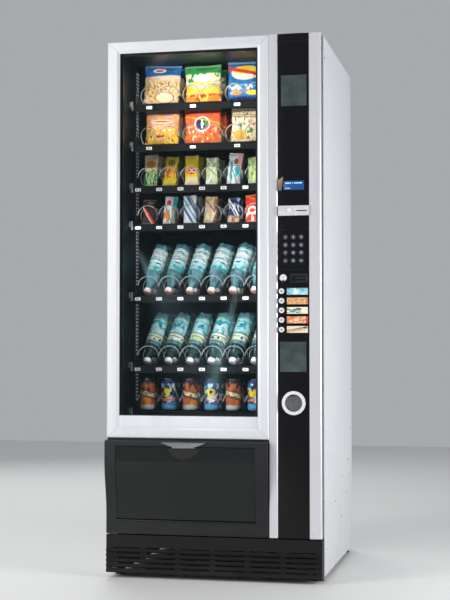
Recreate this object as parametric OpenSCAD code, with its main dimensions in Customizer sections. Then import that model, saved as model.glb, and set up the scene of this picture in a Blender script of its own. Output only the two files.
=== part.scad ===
// Glass-fronted snack and drink vending machine.
// X runs to the right, the front faces -Y, Z is up. The origin is the middle of the footprint, on the floor.

/* [Cabinet] */
// Overall width
cabinet_w = 740; // [740:5:760]
// Overall height
cabinet_h = 1830; // [1830:5:1850]
// Depth of the casing behind its front edge
casing_d = 740; // [730:5:760]
// Thickness of the door
door_t = 45; // [45:1:48]
// How far the collection flap's handle stands in front of the door
handle_out = 30; // [30:1:40]

/* [Product shelves] */
// Number of spirals side by side on a shelf
columns = 6; // [6:1:6]
// Distance between two spirals
column_pitch = 77.8; // [76:0.2:78]
// Turn pitch of the spirals for bags, bottles and cans
wide_pitch = 72; // [72:1:72]
// Turn pitch of the spirals for bars
fine_pitch = 36; // [36:1:36]
// Thickness of the spiral wire
wire_d = 3.5; // [3:0.1:4]

/* [Controls] */
// Radius of a number key
key_r = 8.6; // [8:0.1:8.8]
// Radius of a selection button
button_r = 9; // [8:0.1:9]

/* [Hidden] */

// Outline of the cabinet
left = -cabinet_w / 2;
right = cabinet_w / 2;
top = cabinet_h;
seal_gap = 5;
back_y = (casing_d + seal_gap + door_t + handle_out) / 2;
case_y = back_y - casing_d;
door_back = case_y - seal_gap;
door_y = door_back - door_t;
panel_t = 10;
frame_y = door_y + panel_t;
sheet = 2;
foot_h = 18;
foot_thread_r = 6;
foot_thread_h = 42;
plinth_z = 146;
floor_z = 150;

// Vertical division of the door front
column_l = right - 177.3;
fascia_l = right - 147;
fascia_r = right - 40.5;
window_x = [left + 43, column_l - 38.7];
window_z = [512, top - 40];
surround_z = 473.4;
housing_z = 466.8;

// Refrigerated space
cell_x = [left + 26, right - 192];
cell_back = back_y - 46;
cell_top = top - 34;
liner_t = 2;
divider_r = cell_x[1] + 22;
deck_z = 540;
deck_y = case_y + 127;
machine_floor = floor_z + liner_t;

// Condenser fan
fan_at = [-190, 300];
fan_y = 205;
fan_pin_r = 4;

// Shelves, top one first
tray_x = [left + 48, left + 48 + 467];
tray_y = [case_y + 126, back_y - 110];
snack_z = [1644, 1499, 1352, 1217];
drink_z = [965, 717, 556];
lip_h = 26;
tray_side_h = 34;
tray_back_h = 66;
spiral_r = 33;
wire_r = wire_d / 2;
bead_r = wire_r + 0.2;
spiral_lift = spiral_r + wire_r + 1.25;
spiral_y = tray_y[0] + 18;
spiral_len = 468;
hub_y = spiral_y + spiral_len;
hub_r = 12;
hub_t = 8;
hub_gap = 0.4;
motor_w = 44;
motor_d = 32;
bar_row = 3;
bar_column = 4;
bottle_row = 1;
bottle_column = 2;

// Door hinge
hinge_x = left + 10;
hinge_y = door_back - 19;
hinge_pin_r = 4.5;
running_gap = 0.05;
hinge_top_z = top - 6;

// Controls on the column
fascia_mid = (fascia_l + fascia_r) / 2;
fascia_sag = 4;
fascia_back = door_y + 8;
fascia_seams = [983, 1038.6, 1172.6];
seam_w = 0.2;
upper_window_x = [right - 135, right - 49];
upper_window_z = [1586, 1690];
lower_window_x = [right - 139.5, right - 50.7];
lower_window_z = [699.5, 799.7];
display_x = [right - 133, right - 51];
display_z = [1299.6, 1354.8];
coin_slot_x = [right - 142, right - 44];
coin_slot_z = [1221, 1250];
keypad_x = [right - 134, right - 53];
keypad_z = [1046, 1168];
reader_x = [right - 102.4, right - 46.1];
reader_z = [995, 1026];
keypad_sheet = 2.5;
keypad_front = door_y - keypad_sheet;
key_x = right - 119.8;
key_z = 1147;
key_step = [26.6, 26.1];
press_gap = 0.3;
button_x = right - 133.6;
button_z = 967.7;
button_step = 32;
label_x = [right - 117, right - 44.6];
label_h = 24.2;
coin_button = [right - 105, 1236.4];
coin_button_r = 9;
lock_pos = [right - 127.4, 1011.9];
lock_r = 9;
cup_pos = [right - 93.4, 596.5];
cup_r = 39.5;
cup_bore_r = 30;
cup_flap_r = 28;
cup_flap_pivot = 20;
cup_pivot_reach = sqrt(cup_bore_r * cup_bore_r - cup_flap_pivot * cup_flap_pivot) + 1.2;

// Collection opening
chute_x = [left + 37, column_l - 40.7];
chute_z = [196, 452];
flap_x = [left + 38, column_l - 45.7];
flap_z = [201, 446];
flap_opening_x = [flap_x[0] - 1, flap_x[1] + 1];
flap_opening_z = [198, 448];
flap_pin = [door_y + 5, 206];
flap_pin_r = 3;
bin_x = [left + 34, column_l - 37.7];
bin_y = case_y + 115;
bin_pin = [bin_y - 7, 446];
bin_pin_r = 3;
bulge = 24;

// ---- helpers ----

module slab(x, y, z) {
    translate([x[0], y[0], z[0]]) cube([x[1] - x[0], y[1] - y[0], z[1] - z[0]]);
}

// A bar along X whose section is a list of [z, y] points
module prism_x(x, section) {
    translate([x[1], 0, 0]) rotate([0, -90, 0]) linear_extrude(x[1] - x[0]) polygon(section);
}

// A plate across Y whose outline is a list of [x, z] points
module prism_y(y, outline) {
    translate([0, y[1], 0]) rotate([90, 0, 0]) linear_extrude(y[1] - y[0]) polygon(outline);
}

// A post along Z whose section is a list of [x, y] points
module prism_z(z, section) {
    translate([0, 0, z[0]]) linear_extrude(z[1] - z[0]) polygon(section);
}

// A rod along Y through [x, z]
module rod_y(at, r, y) {
    translate([at[0], y[0], at[1]]) rotate([-90, 0, 0]) cylinder(r = r, h = y[1] - y[0], $fn = 48);
}

// A rod along X through [y, z]
module rod_x(at, r, x) {
    translate([x[0], at[0], at[1]]) rotate([0, 90, 0]) cylinder(r = r, h = x[1] - x[0], $fn = 48);
}

module rod_z(at, r, z) {
    translate([at[0], at[1], z[0]]) cylinder(r = r, h = z[1] - z[0], $fn = 48);
}

function mid(range) = (range[0] + range[1]) / 2;

function grow(range, by) = [range[0] - by, range[1] + by];

// ---- cabinet ----

module side_panels() {
    color("gainsboro") for (side = [0, 1]) mirror([side, 0, 0]) {
        slab([left, left + sheet], [case_y, back_y], [foot_h, top]);
        slab([left + sheet, left + 22], [case_y, case_y + sheet], [foot_h, top - 8]);
    }
}

module roof_panel() {
    inner = [left + sheet, right - sheet];
    color("gainsboro") {
        slab(inner, [case_y, back_y], [top - sheet, top]);
        slab(grow(inner, -38), [case_y, case_y + sheet], [top - 22, top - sheet]);
    }
}

module back_panel() {
    slots = 12;
    slot_step = 24;
    color("silver") difference() {
        slab([left + sheet, right - sheet], [back_y - sheet, back_y], [foot_h, top - sheet]);
        for (k = [0 : slots - 1], x = [-250, -90, 70])
            slab([x, x + 120], [back_y - 5, back_y + 5], [190 + k * slot_step, 198 + k * slot_step]);
    }
}

module insulation() {
    outer = [left + sheet, divider_r];
    y = [case_y + sheet, back_y - sheet];
    color("khaki") difference() {
        slab(outer, y, [floor_z, top - 8]);
        slab([cell_x[0] - liner_t, cell_x[1] + liner_t], [case_y, cell_back + liner_t],
             [floor_z - 1, cell_top + liner_t]);
    }
}

module inner_liner() {
    shell_x = grow(cell_x, liner_t);
    color("whitesmoke") {
        difference() {
            slab(shell_x, [case_y + sheet, cell_back + liner_t], [floor_z, cell_top + liner_t]);
            slab(cell_x, [case_y, cell_back], [floor_z + liner_t, cell_top]);
        }
        difference() {
            slab([left + 22, divider_r], [case_y, case_y + sheet], [floor_z, top - 22]);
            slab(cell_x, [case_y - 1, case_y + 3], [floor_z + liner_t, cell_top]);
        }
    }
}

module base_frame() {
    rail_w = 30;
    rail_t = 4;
    rail_y = [case_y + 4, back_y - 6];
    cross_z = [100, plinth_z];
    color("dimgray") {
        slab([left + sheet, right - sheet], [case_y + sheet, back_y - sheet], [plinth_z, floor_z]);
        for (side = [0, 1]) mirror([side, 0, 0]) difference() {
            slab([left + 10, left + 10 + rail_w], rail_y, [foot_h, plinth_z]);
            slab([left + 10 + rail_t, left + 11 + rail_w], grow(rail_y, 1), [foot_h + rail_t, plinth_z - rail_t]);
            foot_places() cylinder(r = foot_thread_r, h = foot_thread_h, $fn = 48);
        }
        for (y = [case_y + 80, back_y - 90]) difference() {
            slab([left + 10 + rail_t, right - 10 - rail_t], [y, y + rail_w], cross_z);
            slab([left, right], [y + rail_t, y + rail_w + 1], cross_z - [1, rail_t]);
        }
    }
}

module base_grille() {
    rib_h = 17;
    ribs = 5;
    rib_z = 20;
    face = door_y;
    color("black") {
        difference() {
            union() {
                slab([left, right], [face, face + 4], [foot_h, plinth_z]);
                for (k = [0 : ribs - 1])
                    prism_x([left, right], [
                        [rib_z + k * rib_h, face], [rib_z + k * rib_h + 3, face - 4],
                        [rib_z + k * rib_h + 7, face - 4], [rib_z + k * rib_h + 12, face]
                    ]);
            }
            for (k = [0 : ribs - 1], x = [left + 20 : 120 : right - 110])
                slab([x, x + 100], [face - 1, face + 5], [rib_z + k * rib_h + 12.5, rib_z + k * rib_h + 16]);
        }
        for (x = [left, right - 4]) slab([x, x + 4], [face + 4, case_y], [foot_h, plinth_z]);
        slab([left + 4, right - 4], [face + 4, case_y], [plinth_z - 3, plinth_z]);
    }
}

module foot_places() {
    for (x = [left + 25, right - 25], y = [case_y + 40, back_y - 40]) translate([x, y, foot_h]) children();
}

module levelling_feet() {
    nut_h = 4;
    color("black") foot_places() {
        cylinder(r = foot_thread_r, h = foot_thread_h, $fn = 48);
        translate([0, 0, -foot_h]) cylinder(r1 = 19, r2 = 17, h = foot_h - nut_h, $fn = 48);
        translate([0, 0, -nut_h]) cylinder(r = 12, h = nut_h, $fn = 6);
    }
}

module hinge_brackets() {
    plate_x = [left + 4, left + 36];
    color("silver") {
        slab(plate_x, [hinge_y - 12, case_y + 40], [hinge_top_z, top - sheet]);
        rod_z([hinge_x, hinge_y], hinge_pin_r, [hinge_top_z - 26, hinge_top_z + 1]);
        slab(plate_x, [hinge_y - 12, case_y], [plinth_z, floor_z - 0.5]);
        rod_z([hinge_x, hinge_y], hinge_pin_r, [plinth_z + 1, floor_z + 24]);
    }
}

// ---- cooling unit ----

module cooling_deck() {
    wall = 3;
    color("darkgray") difference() {
        slab(cell_x, [deck_y, cell_back], [floor_z + liner_t, deck_z]);
        slab(grow(cell_x, 1), [deck_y + wall, cell_back + 1], [floor_z, deck_z - wall]);
        for (x = [cell_x[0] + 30 : 40 : cell_x[1] - 60])
            slab([x, x + 30], [cell_back - 40, cell_back - 10], [deck_z - 5, deck_z + 1]);
        for (k = [0 : 7])
            slab([-260, -100], [deck_y - 1, deck_y + wall + 1], [190 + k * 24, 200 + k * 24]);
    }
}

module compressor() {
    at = [70, 170];
    pot_r = 70;
    plate_top = machine_floor + 6;
    pot_top = machine_floor + 130;
    color("black") {
        slab([at[0] - 90, at[0] + 90], [at[1] - 60, at[1] + 60], [machine_floor, plate_top]);
        rod_z(at, pot_r, [plate_top, pot_top]);
        intersection() {
            translate([at[0], at[1], pot_top]) sphere(r = pot_r, $fn = 64);
            slab([at[0] - pot_r, at[0] + pot_r], [at[1] - pot_r, at[1] + pot_r], [pot_top, pot_top + pot_r]);
        }
    }
}

module condenser() {
    core_x = [-300, -80];
    core_z = [190, 410];
    core_y = [240, 300];
    color("silver") {
        slab(grow(core_x, 6), [core_y[0] - 2, core_y[1] + 2], [machine_floor, core_z[0]]);
        slab(grow(core_x, 6), [core_y[0] - 2, core_y[1] + 2], [core_z[1], core_z[1] + 6]);
        for (x = [core_x[0] : 10 : core_x[1]]) slab([x, x + 1.5], core_y, core_z);
        for (z = [core_z[0] + 30 : 40 : core_z[1] - 10]) rod_x([mid(core_y), z], 4, grow(core_x, 6));
        slab([fan_at[0] - 18, fan_at[0] + 18], [core_y[0] - 16, core_y[0]], [fan_at[1] - 18, fan_at[1] + 18]);
        rod_y(fan_at, fan_pin_r, [fan_y - 12, core_y[0] - 10]);
    }
}

module condenser_fan() {
    blades = 5;
    color("dimgray") difference() {
        union() {
            rod_y(fan_at, 24, [fan_y - 10, fan_y + 14]);
            for (k = [0 : blades - 1])
                translate([fan_at[0], fan_y, fan_at[1]]) rotate([0, k * 360 / blades, 0])
                    translate([20, 0, 0]) rotate([28, 0, 0]) translate([0, -1, -26]) cube([72, 2, 52]);
        }
        rod_y(fan_at, fan_pin_r + running_gap, [fan_y - 20, fan_y + 20]);
    }
}

module electrical_box() {
    color("lightgray") {
        slab([divider_r + 20, right - 8], [200, back_y - sheet], [700, 1040]);
        for (z = [730 : 60 : 1000]) slab([divider_r + 60, right - 40], [192, 200], [z, z + 30]);
    }
}

// ---- shelves ----

function column_x(k) = tray_x[0] + 39 + column_pitch * k;

function axis_z(floor_level) = floor_level + spiral_lift;

// One shelf: floor, price rail at the front, side walls, motor wall and dividers between lanes
module tray(floor_level, lanes) {
    f = floor_level;
    difference() {
        union() {
            slab(tray_x, tray_y, [f - 2, f]);
            slab(tray_x, [tray_y[0] - 2, tray_y[0]], [f - lip_h, f]);
            for (x = [tray_x[0], tray_x[1] - 2]) slab([x, x + 2], tray_y, [f, f + tray_side_h]);
            slab(tray_x, [tray_y[1], tray_y[1] + 2], [f - 2, f + tray_back_h]);
            for (k = [1 : lanes - 1])
                slab(grow([mid(tray_x), mid(tray_x)] + [1, 1] * (k - lanes / 2) * 6 * column_pitch / lanes, 0.6),
                     [tray_y[0] + 14, tray_y[1]], [f, f + tray_side_h - 4]);
        }
        for (k = [0 : columns - 1]) rod_y([column_x(k), axis_z(f)], 6, [tray_y[1] - 1, tray_y[1] + 3]);
    }
}

module snack_trays() {
    color("dimgray") for (k = [0 : 3]) tray(snack_z[k], k < 2 ? 3 : 6);
}

module drink_trays() {
    color("dimgray") for (z = drink_z) tray(z, 6);
}

module shelf_rails() {
    rail_z = [deck_z + 4, cell_top - 8];
    color("silver") for (side = [0, 1]) {
        wall = cell_x[side];
        inward = side == 0 ? 1 : -1;
        for (y = [-120, 250]) difference() {
            slab([min(wall, wall + 3 * inward), max(wall, wall + 3 * inward)], [y, y + 24], rail_z);
            for (z = [rail_z[0] + 20 : 50 : rail_z[1] - 20])
                slab(grow([wall, wall], 5), [y + 9, y + 15], [z, z + 16]);
        }
        near = wall + 3 * inward;
        far = tray_x[side];
        for (z = concat(snack_z, drink_z)) {
            slab([min(near, far), max(near, far)], [-150, tray_y[1]], [z - 2, z]);
            slab([min(far, far - 2 * inward), max(far, far - 2 * inward)], [-150, tray_y[1]], [z, z + 20]);
        }
    }
}

module spiral_motors() {
    color("black") for (z = concat(snack_z, drink_z), k = [0 : columns - 1]) {
        at = [column_x(k), axis_z(z)];
        slab(grow([at[0], at[0]], motor_w / 2), [tray_y[1] + 2, tray_y[1] + 2 + motor_d],
             grow([at[1], at[1]], motor_w / 2 - 2));
        rod_y(at, 4, [hub_y + hub_t, tray_y[1] + 3]);
    }
}

// One arc of wire, a quarter turn in a plane that leans with the pitch. It runs from angle "from" down by 90.
module quarter_turn(p, from) {
    half_chord = norm([spiral_r * sin(45), p / 8]);
    rise = spiral_r * (1 - cos(45));
    arc_r = (half_chord * half_chord + rise * rise) / (2 * rise);
    half_angle = asin(half_chord / arc_r);
    lean = atan2(-spiral_r * sin(45), p / 8);
    rotate([0, 45 - from, 0]) translate([spiral_r - arc_r, 0, 0]) rotate([lean, 0, 0]) rotate([0, 0, -half_angle])
        rotate_extrude(angle = 2 * half_angle, $fn = 96) translate([arc_r, 0]) circle(r = wire_r, $fn = 16);
}

// A spiral on its driving hub, from its left side over the top, with a small bead where two arcs meet
module spiral(p, back_gap) {
    quarters = round(spiral_len / (p / 4));
    last = 180 - quarters * 90;
    for (k = [0 : quarters - 1]) translate([0, (k + 0.5) * p / 4, 0]) quarter_turn(p, 180 - k * 90);
    for (k = [0 : quarters])
        translate([0, k * p / 4, 0]) rotate([0, k * 90 - 180, 0]) translate([spiral_r, 0, 0]) rotate([90, 0, 90])
            sphere(r = bead_r, $fn = 24);
    translate([0, spiral_len, 0]) {
        rod_y([0, 0], hub_r, [0, hub_t - back_gap]);
        rotate([0, -last, 0]) slab([0, spiral_r + 2], [-1, 3], [-2, 2]);
    }
}

module place_spiral(floor_level, column) {
    translate([column_x(column), spiral_y, axis_z(floor_level)]) children();
}

// The wires of the shelves that stand still, as rings of wire on a carrier rod
module shelf_spirals() {
    floors = concat(snack_z, drink_z);
    color("lightgray") for (row = [0 : len(floors) - 1], k = [0 : columns - 1]) {
        moving = (row == bar_row && k == bar_column) || (row == len(snack_z) + bottle_row && k == bottle_column);
        p = row == 2 || row == 3 ? fine_pitch : wide_pitch;
        if (!moving) place_spiral(floors[row], k) ring_spiral(p);
    }
}

module ring_spiral(p) {
    difference() {
        union() for (k = [0 : floor(spiral_len / p) - 1])
            rod_y([0, 0], spiral_r + wire_r, [p / 2 + k * p, p / 2 + k * p + wire_d]);
        rod_y([0, 0], spiral_r - wire_r, [0, spiral_len]);
    }
    slab(grow([0, 0], wire_r), [p / 2, spiral_len + 3], grow([-spiral_r, -spiral_r], wire_r * 0.8));
    rod_y([0, 0], hub_r, [spiral_len, spiral_len + hub_t]);
    slab(grow([0, 0], wire_r), [spiral_len, spiral_len + 3], [-spiral_r, 0]);
}

module bar_spiral() {
    color("lightgray") place_spiral(snack_z[bar_row], bar_column) spiral(fine_pitch, hub_gap);
}

module bottle_spiral() {
    color("lightgray") place_spiral(drink_z[bottle_row], bottle_column) spiral(wide_pitch, hub_gap);
}

// Bars stand between the turns, leaning back by half a pitch over the height of the spiral
module bar_stock() {
    bars = 12;
    bar_w = 44;
    bar_t = 14;
    bar_h = 92;
    slope = fine_pitch / 2 / (2 * spiral_r);
    foot = -spiral_lift + 0.7;
    function bar_y(h) = fine_pitch / 2 + slope * h;
    color("peru") place_spiral(snack_z[bar_row], bar_column) for (k = [0 : bars - 1])
        translate([0, k * fine_pitch, 0]) prism_x([-bar_w / 2, bar_w / 2], [
            [foot, bar_y(foot) - bar_t / 2], [foot + bar_h, bar_y(foot + bar_h) - bar_t / 2],
            [foot + bar_h, bar_y(foot + bar_h) + bar_t / 2], [foot, bar_y(foot) + bar_t / 2]
        ]);
}

// Bottles lean the same way, cap down
module bottle_stock() {
    bottles = 6;
    lean = atan(wide_pitch / 2 / (2 * spiral_r));
    cap_z = -32;
    color("lightskyblue") place_spiral(drink_z[bottle_row], bottle_column) for (k = [0 : bottles - 1])
        translate([0, wide_pitch / 2 + k * wide_pitch, 0]) rotate([-lean, 0, 0]) rotate_extrude($fn = 64)
            polygon([[0, cap_z], [14, cap_z], [14, cap_z + 16], [12, cap_z + 17], [13, cap_z + 24],
                     [20, cap_z + 42], [26, cap_z + 66], [27, cap_z + 78], [27, 150], [25, 160], [0, 160]]);
}

// ---- door ----

module door_frame() {
    back = door_back;
    spacer = 8;
    color("black") difference() {
        slab([left, right - sheet], [frame_y, back], [floor_z, top - sheet]);
        slab(window_x, [frame_y - 1, frame_y + 5], window_z);
        slab(grow(window_x, -spacer), [frame_y - 1, back + 1], grow(window_z, -spacer));
        slab(window_x, [frame_y + 15, back + 1], window_z);
        slab(chute_x, [frame_y - 1, back + 1], chute_z);
        slab([fascia_l + 1, fascia_r - 0.5], [frame_y - 1, back + 1], [floor_z + 10, top - 15]);
        slab([left - 1, left + 40], [frame_y - 1, back + 1], [hinge_top_z - 0.5, top]);
        rod_z([hinge_x, hinge_y], hinge_pin_r + running_gap, [hinge_top_z - 28, top]);
        rod_z([hinge_x, hinge_y], hinge_pin_r + running_gap, [floor_z - 1, floor_z + 26]);
    }
}

// Section of a frame bar between its outer edge and its bevelled inner edge, as [position, y]
function bar_section(inner, outer) =
    let (out = sign(outer - inner))
    [[inner, frame_y], [inner, frame_y - 4], [inner + 10 * out, door_y],
     [outer - 3 * out, door_y], [outer, door_y + 3], [outer, frame_y]];

module glass_surround() {
    outer_x = [left, column_l];
    outer_z = [surround_z, top];
    sill_z = 550;
    depth = [door_y - 1, frame_y];
    color("silver") {
        for (k = [0, 1]) {
            intersection() {
                prism_y(depth, [[outer_x[0], outer_z[k]], [outer_x[1], outer_z[k]],
                                [window_x[1], window_z[k]], [window_x[0], window_z[k]]]);
                prism_x(outer_x, bar_section(window_z[k], outer_z[k]));
            }
            intersection() {
                prism_y(depth, [[outer_x[k], outer_z[0]], [outer_x[k], outer_z[1]],
                                [window_x[k], window_z[1]], [window_x[k], window_z[0]]]);
                prism_z(outer_z, bar_section(window_x[k], outer_x[k]));
            }
        }
        prism_x(window_x, [[window_z[0], frame_y], [window_z[0], frame_y - 5], [sill_z - 6, frame_y - 4],
                           [sill_z, frame_y - 2], [sill_z, frame_y]]);
    }
}

module glass_panes() {
    color("lightcyan", 0.3) {
        slab(window_x, [frame_y, frame_y + 5], window_z);
        slab(window_x, [frame_y + 15, frame_y + 20], window_z);
    }
}

module column_profiles() {
    round_r = 8;
    color("silver") {
        prism_z([floor_z, top], [
            [column_l, frame_y], [column_l, door_y + 3], [column_l + 3, door_y], [fascia_l - 3, door_y],
            [fascia_l, door_y + 3], [fascia_l, frame_y]
        ]);
        difference() {
            slab([fascia_r, right], [door_y, frame_y], [floor_z, top]);
            slab([right - round_r, right + 1], [door_y - 1, door_y + round_r], [floor_z - 1, top + 1]);
        }
        intersection() {
            rod_z([right - round_r, door_y + round_r], round_r, [floor_z, top]);
            slab([right - round_r, right], [door_y, door_y + round_r], [floor_z, top]);
        }
    }
}

function arc_radius(half_chord, sag) = (half_chord * half_chord + sag * sag) / (2 * sag);

module column_fascia() {
    r = arc_radius((fascia_r - fascia_l) / 2, fascia_sag);
    through = [door_y - 10, frame_y + 1];
    color("black") difference() {
        intersection() {
            slab([fascia_l, fascia_r], [door_y - 4, fascia_back], [floor_z, top]);
            translate([fascia_mid, door_y - 2 + r, floor_z]) cylinder(r = r, h = top - floor_z, $fn = 360);
        }
        slab(upper_window_x, through, upper_window_z);
        slab(lower_window_x, through, lower_window_z);
        slab(display_x, through, display_z);
        slab(coin_slot_x, through, coin_slot_z);
        slab(keypad_x, through, keypad_z);
        slab(reader_x, through, reader_z);
        for (k = [0 : 4]) {
            rod_y([button_x, button_z - k * button_step], button_r + press_gap, through);
            slab(label_x, through, grow([label_z(k), label_z(k)], label_h / 2));
        }
        rod_y(lock_pos, lock_r + press_gap, through);
        rod_y(cup_pos, cup_bore_r + 2, through);
        rod_y(cup_pos, cup_r, [door_y - 10, fascia_back - 6]);
        for (z = fascia_seams) slab(grow([fascia_l, fascia_r], 1), grow(through, 1), [z, z + seam_w]);
    }
}

function label_z(k) = 966.7 - k * 31.6;

module window_plates() {
    color("slategray") {
        slab(upper_window_x, [door_y, fascia_back], upper_window_z);
        slab(lower_window_x, [door_y, fascia_back], lower_window_z);
        for (k = [0 : 4]) slab(label_x, [door_y - 0.5, fascia_back], grow([label_z(k), label_z(k)], label_h / 2));
    }
}

module price_display() {
    color("midnightblue") difference() {
        slab(display_x, [door_y - 2.5, fascia_back + 20], display_z);
        slab(grow(display_x, -5), [door_y - 3, door_y - 1], [display_z[0] + 4, display_z[1] - 18]);
    }
}

module coin_plate() {
    slot_x = [right - 84, right - 48];
    slot_z = [1233.2, 1236.8];
    color("silver") difference() {
        union() {
            slab([fascia_l + 2.4, fascia_r - 0.1], [door_y - 6, door_y - 2], [1219, 1252]);
            slab(coin_slot_x, [door_y - 2, fascia_back], coin_slot_z);
        }
        slab(slot_x, [door_y - 7, fascia_back + 1], slot_z);
        rod_y(coin_button, coin_button_r + press_gap, [door_y - 7, fascia_back + 1]);
    }
}

// A round push button whose flange sits behind the plate that holds it
module push_button(at, r, flange_r, front, plate_back) {
    rod_y(at, r, [front, plate_back + 2.5]);
    rod_y(at, flange_r, [plate_back + 0.5, plate_back + 2.5]);
}

module coin_reject_button() {
    color("silver") push_button(coin_button, coin_button_r, 11, door_y - 9, fascia_back);
}

module select_button(k) {
    color("silver")
        push_button([button_x, button_z - (k - 1) * button_step], button_r, 11, door_y - 5, fascia_back);
}

function key_at(k) = [key_x + (k - 1) % 3 * key_step[0], key_z - floor((k - 1) / 3) * key_step[1]];

module keypad_plate() {
    color("black") difference() {
        slab(keypad_x, [keypad_front, fascia_back], keypad_z);
        slab(grow(keypad_x, -3), [keypad_front + keypad_sheet, fascia_back - 2], grow(keypad_z, -3));
        for (k = [1 : 12]) rod_y(key_at(k), key_r + press_gap, [keypad_front - 1, keypad_front + 4]);
    }
}

module key(k) {
    color("gray")
        push_button(key_at(k), key_r, key_r + 1.4, keypad_front - 3.5, keypad_front + keypad_sheet);
}

module card_reader() {
    color("black") difference() {
        slab(reader_x, [door_y - 2, fascia_back + 22], reader_z);
        slab(grow(reader_x, -4), [door_y - 3, door_y + 8], [reader_z[0] + 4, reader_z[1] - 7]);
        slab(grow(reader_x, -8), [door_y - 3, door_y + 24], [reader_z[0] + 9, reader_z[0] + 11.5]);
    }
}

module lock_barrel() {
    color("silver") difference() {
        union() {
            rod_y(lock_pos, lock_r, [door_y - 4, door_back - 8]);
            rod_y(lock_pos, lock_r + 2.6, [door_y - 6, door_y - 4]);
            slab([lock_pos[0] - 5, lock_pos[0] + 5], [door_back - 12, door_back - 8], [lock_pos[1] - 34, lock_pos[1]]);
        }
        slab(grow([lock_pos[0], lock_pos[0]], 1), [door_y - 7, door_y - 3], grow([lock_pos[1], lock_pos[1]], 5));
    }
}

module coin_mechanism() {
    box_x = [fascia_l - 7, fascia_r + 4.5];
    color("darkslategray") {
        slab(box_x, [door_back, door_back + 80], [1060, 1225]);
        slab(grow(box_x, -1), [door_back, door_back + 72], [900, 1060]);
        slab([cup_pos[0] - 14, cup_pos[0] + 14], [door_back, door_back + 28], [cup_pos[1] + 34, 900]);
        slab(box_x, [door_back, door_back + 3], [cup_pos[1] + 40, cup_pos[1] + 60]);
    }
}

module coin_cup() {
    ring = [door_y - 5, fascia_back - 6];
    depth = [door_y - 2, door_back - 4];
    color("silver") difference() {
        union() {
            rod_y(cup_pos, cup_r, ring);
            rod_y(cup_pos, cup_bore_r + 2, depth);
        }
        rod_y(cup_pos, cup_bore_r, [door_y - 2, depth[1] - 2]);
        rod_y(cup_pos, cup_flap_r + 1, [door_y - 6, door_y]);
        cup_pivot(1.5 + running_gap, cup_pivot_reach + 0.4);
    }
}

// The pivot rod of the coin cup's flap
module cup_pivot(r, reach) {
    rod_x([door_y + 3.5, cup_pos[1] + cup_flap_pivot], r, [cup_pos[0] - reach, cup_pos[0] + reach]);
}

module coin_cup_flap() {
    color("lightgray") {
        difference() {
            rod_y(cup_pos, cup_flap_r, [door_y + 1.5, door_y + 3.5]);
            slab([cup_pos[0] - 40, cup_pos[0] + 40], [door_y, door_y + 5],
                 [cup_pos[1] + cup_flap_pivot + 3, cup_pos[1] + 40]);
        }
        cup_pivot(1.5, cup_pivot_reach);
    }
}

// ---- collection opening ----

// Front of the housing from its bottom edge up: flat, then swelling forwards, then rounding back
function swell(z) =
    z < 215 ? 0 :
    z < 400 ? bulge * (1 - cos((z - 215) / 185 * 180)) / 2 : bulge;

function housing_front(z_range, steps) =
    [for (k = [0 : steps]) let (z = z_range[0] + (z_range[1] - z_range[0]) * k / steps) [z, door_y - swell(z)]];

module delivery_housing() {
    crown = 8;
    color("#3a3b3d") difference() {
        prism_x([left, column_l - 2.1], concat(
            [[floor_z, frame_y], [floor_z, door_y]], housing_front([215, housing_z - crown], 16),
            [[housing_z - 3, door_y - bulge + 2], [housing_z, door_y - bulge + crown], [housing_z, frame_y]]
        ));
        slab(flap_opening_x, [door_y - bulge - 5, frame_y + 1], flap_opening_z);
        slab([left - 1, column_l], [door_y - 1, door_y + 1], [191, 193]);
        rod_x(flap_pin, flap_pin_r + running_gap, grow(flap_x, 9));
    }
}

module delivery_flap() {
    inset = 1.5;
    wall = 5;
    outer = housing_front([flap_z[0] + 10, flap_z[1]], 14);
    color("#202224") {
        prism_x(flap_x, concat(
            [for (p = outer) [p[0], p[1] + inset]],
            [for (k = [len(outer) - 1 : -1 : 0]) [outer[k][0], outer[k][1] + inset + wall]]
        ));
        prism_x(flap_x, [
            [flap_z[0], door_y + 1.5], [flap_z[0] + 10.5, door_y + 1.5],
            [flap_z[0] + 10.5, door_y + 8.5], [flap_z[0], door_y + 8.5]
        ]);
        rod_x(flap_pin, flap_pin_r, grow(flap_x, 8));
        handle_lip();
    }
}

// The gripping lip: a lens-shaped plate standing in front of the lintel
module handle_lip() {
    lip_mid = mid(flap_x) - 1;
    half = 77;
    drop = 19;
    r = arc_radius(half, drop);
    lip_top = housing_z - 5;
    lip_y = [door_y - handle_out, door_y - bulge - 0.5];
    intersection() {
        slab([lip_mid - half, lip_mid + half], lip_y, [lip_top - drop, lip_top]);
        rod_y([lip_mid, lip_top - drop + r], r, lip_y);
    }
    slab([lip_mid - 40, lip_mid + 40], [lip_y[0] + 3, door_y - bulge + 4], [lip_top - drop, flap_z[1]]);
}

module delivery_bin() {
    wall = 3;
    z = [chute_z[0] + 2, chute_z[1]];
    color("dimgray") difference() {
        slab(bin_x, [door_back, bin_y], z);
        slab(grow(bin_x, -wall), [door_back - 1, bin_y - wall], [z[0] + wall, z[1] + 1]);
        rod_x(bin_pin, bin_pin_r + running_gap, grow(bin_x, 1));
    }
}

module security_flap() {
    leaf = [chute_z[0] + 138, bin_pin[1]];
    color("darkgray") {
        slab(grow(bin_x, -5), grow([bin_pin[0], bin_pin[0]], 1), leaf);
        rod_x(bin_pin, bin_pin_r, grow(bin_x, -0.2));
    }
}

module light_strips() {
    color("white") for (x = [bin_x[0] - 2, bin_x[1] + 1])
        slab([x, x + 10], [door_back, door_back + 13], [window_z[0] + 40, window_z[1] - 30]);
}

// ---- assembly ----

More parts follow.
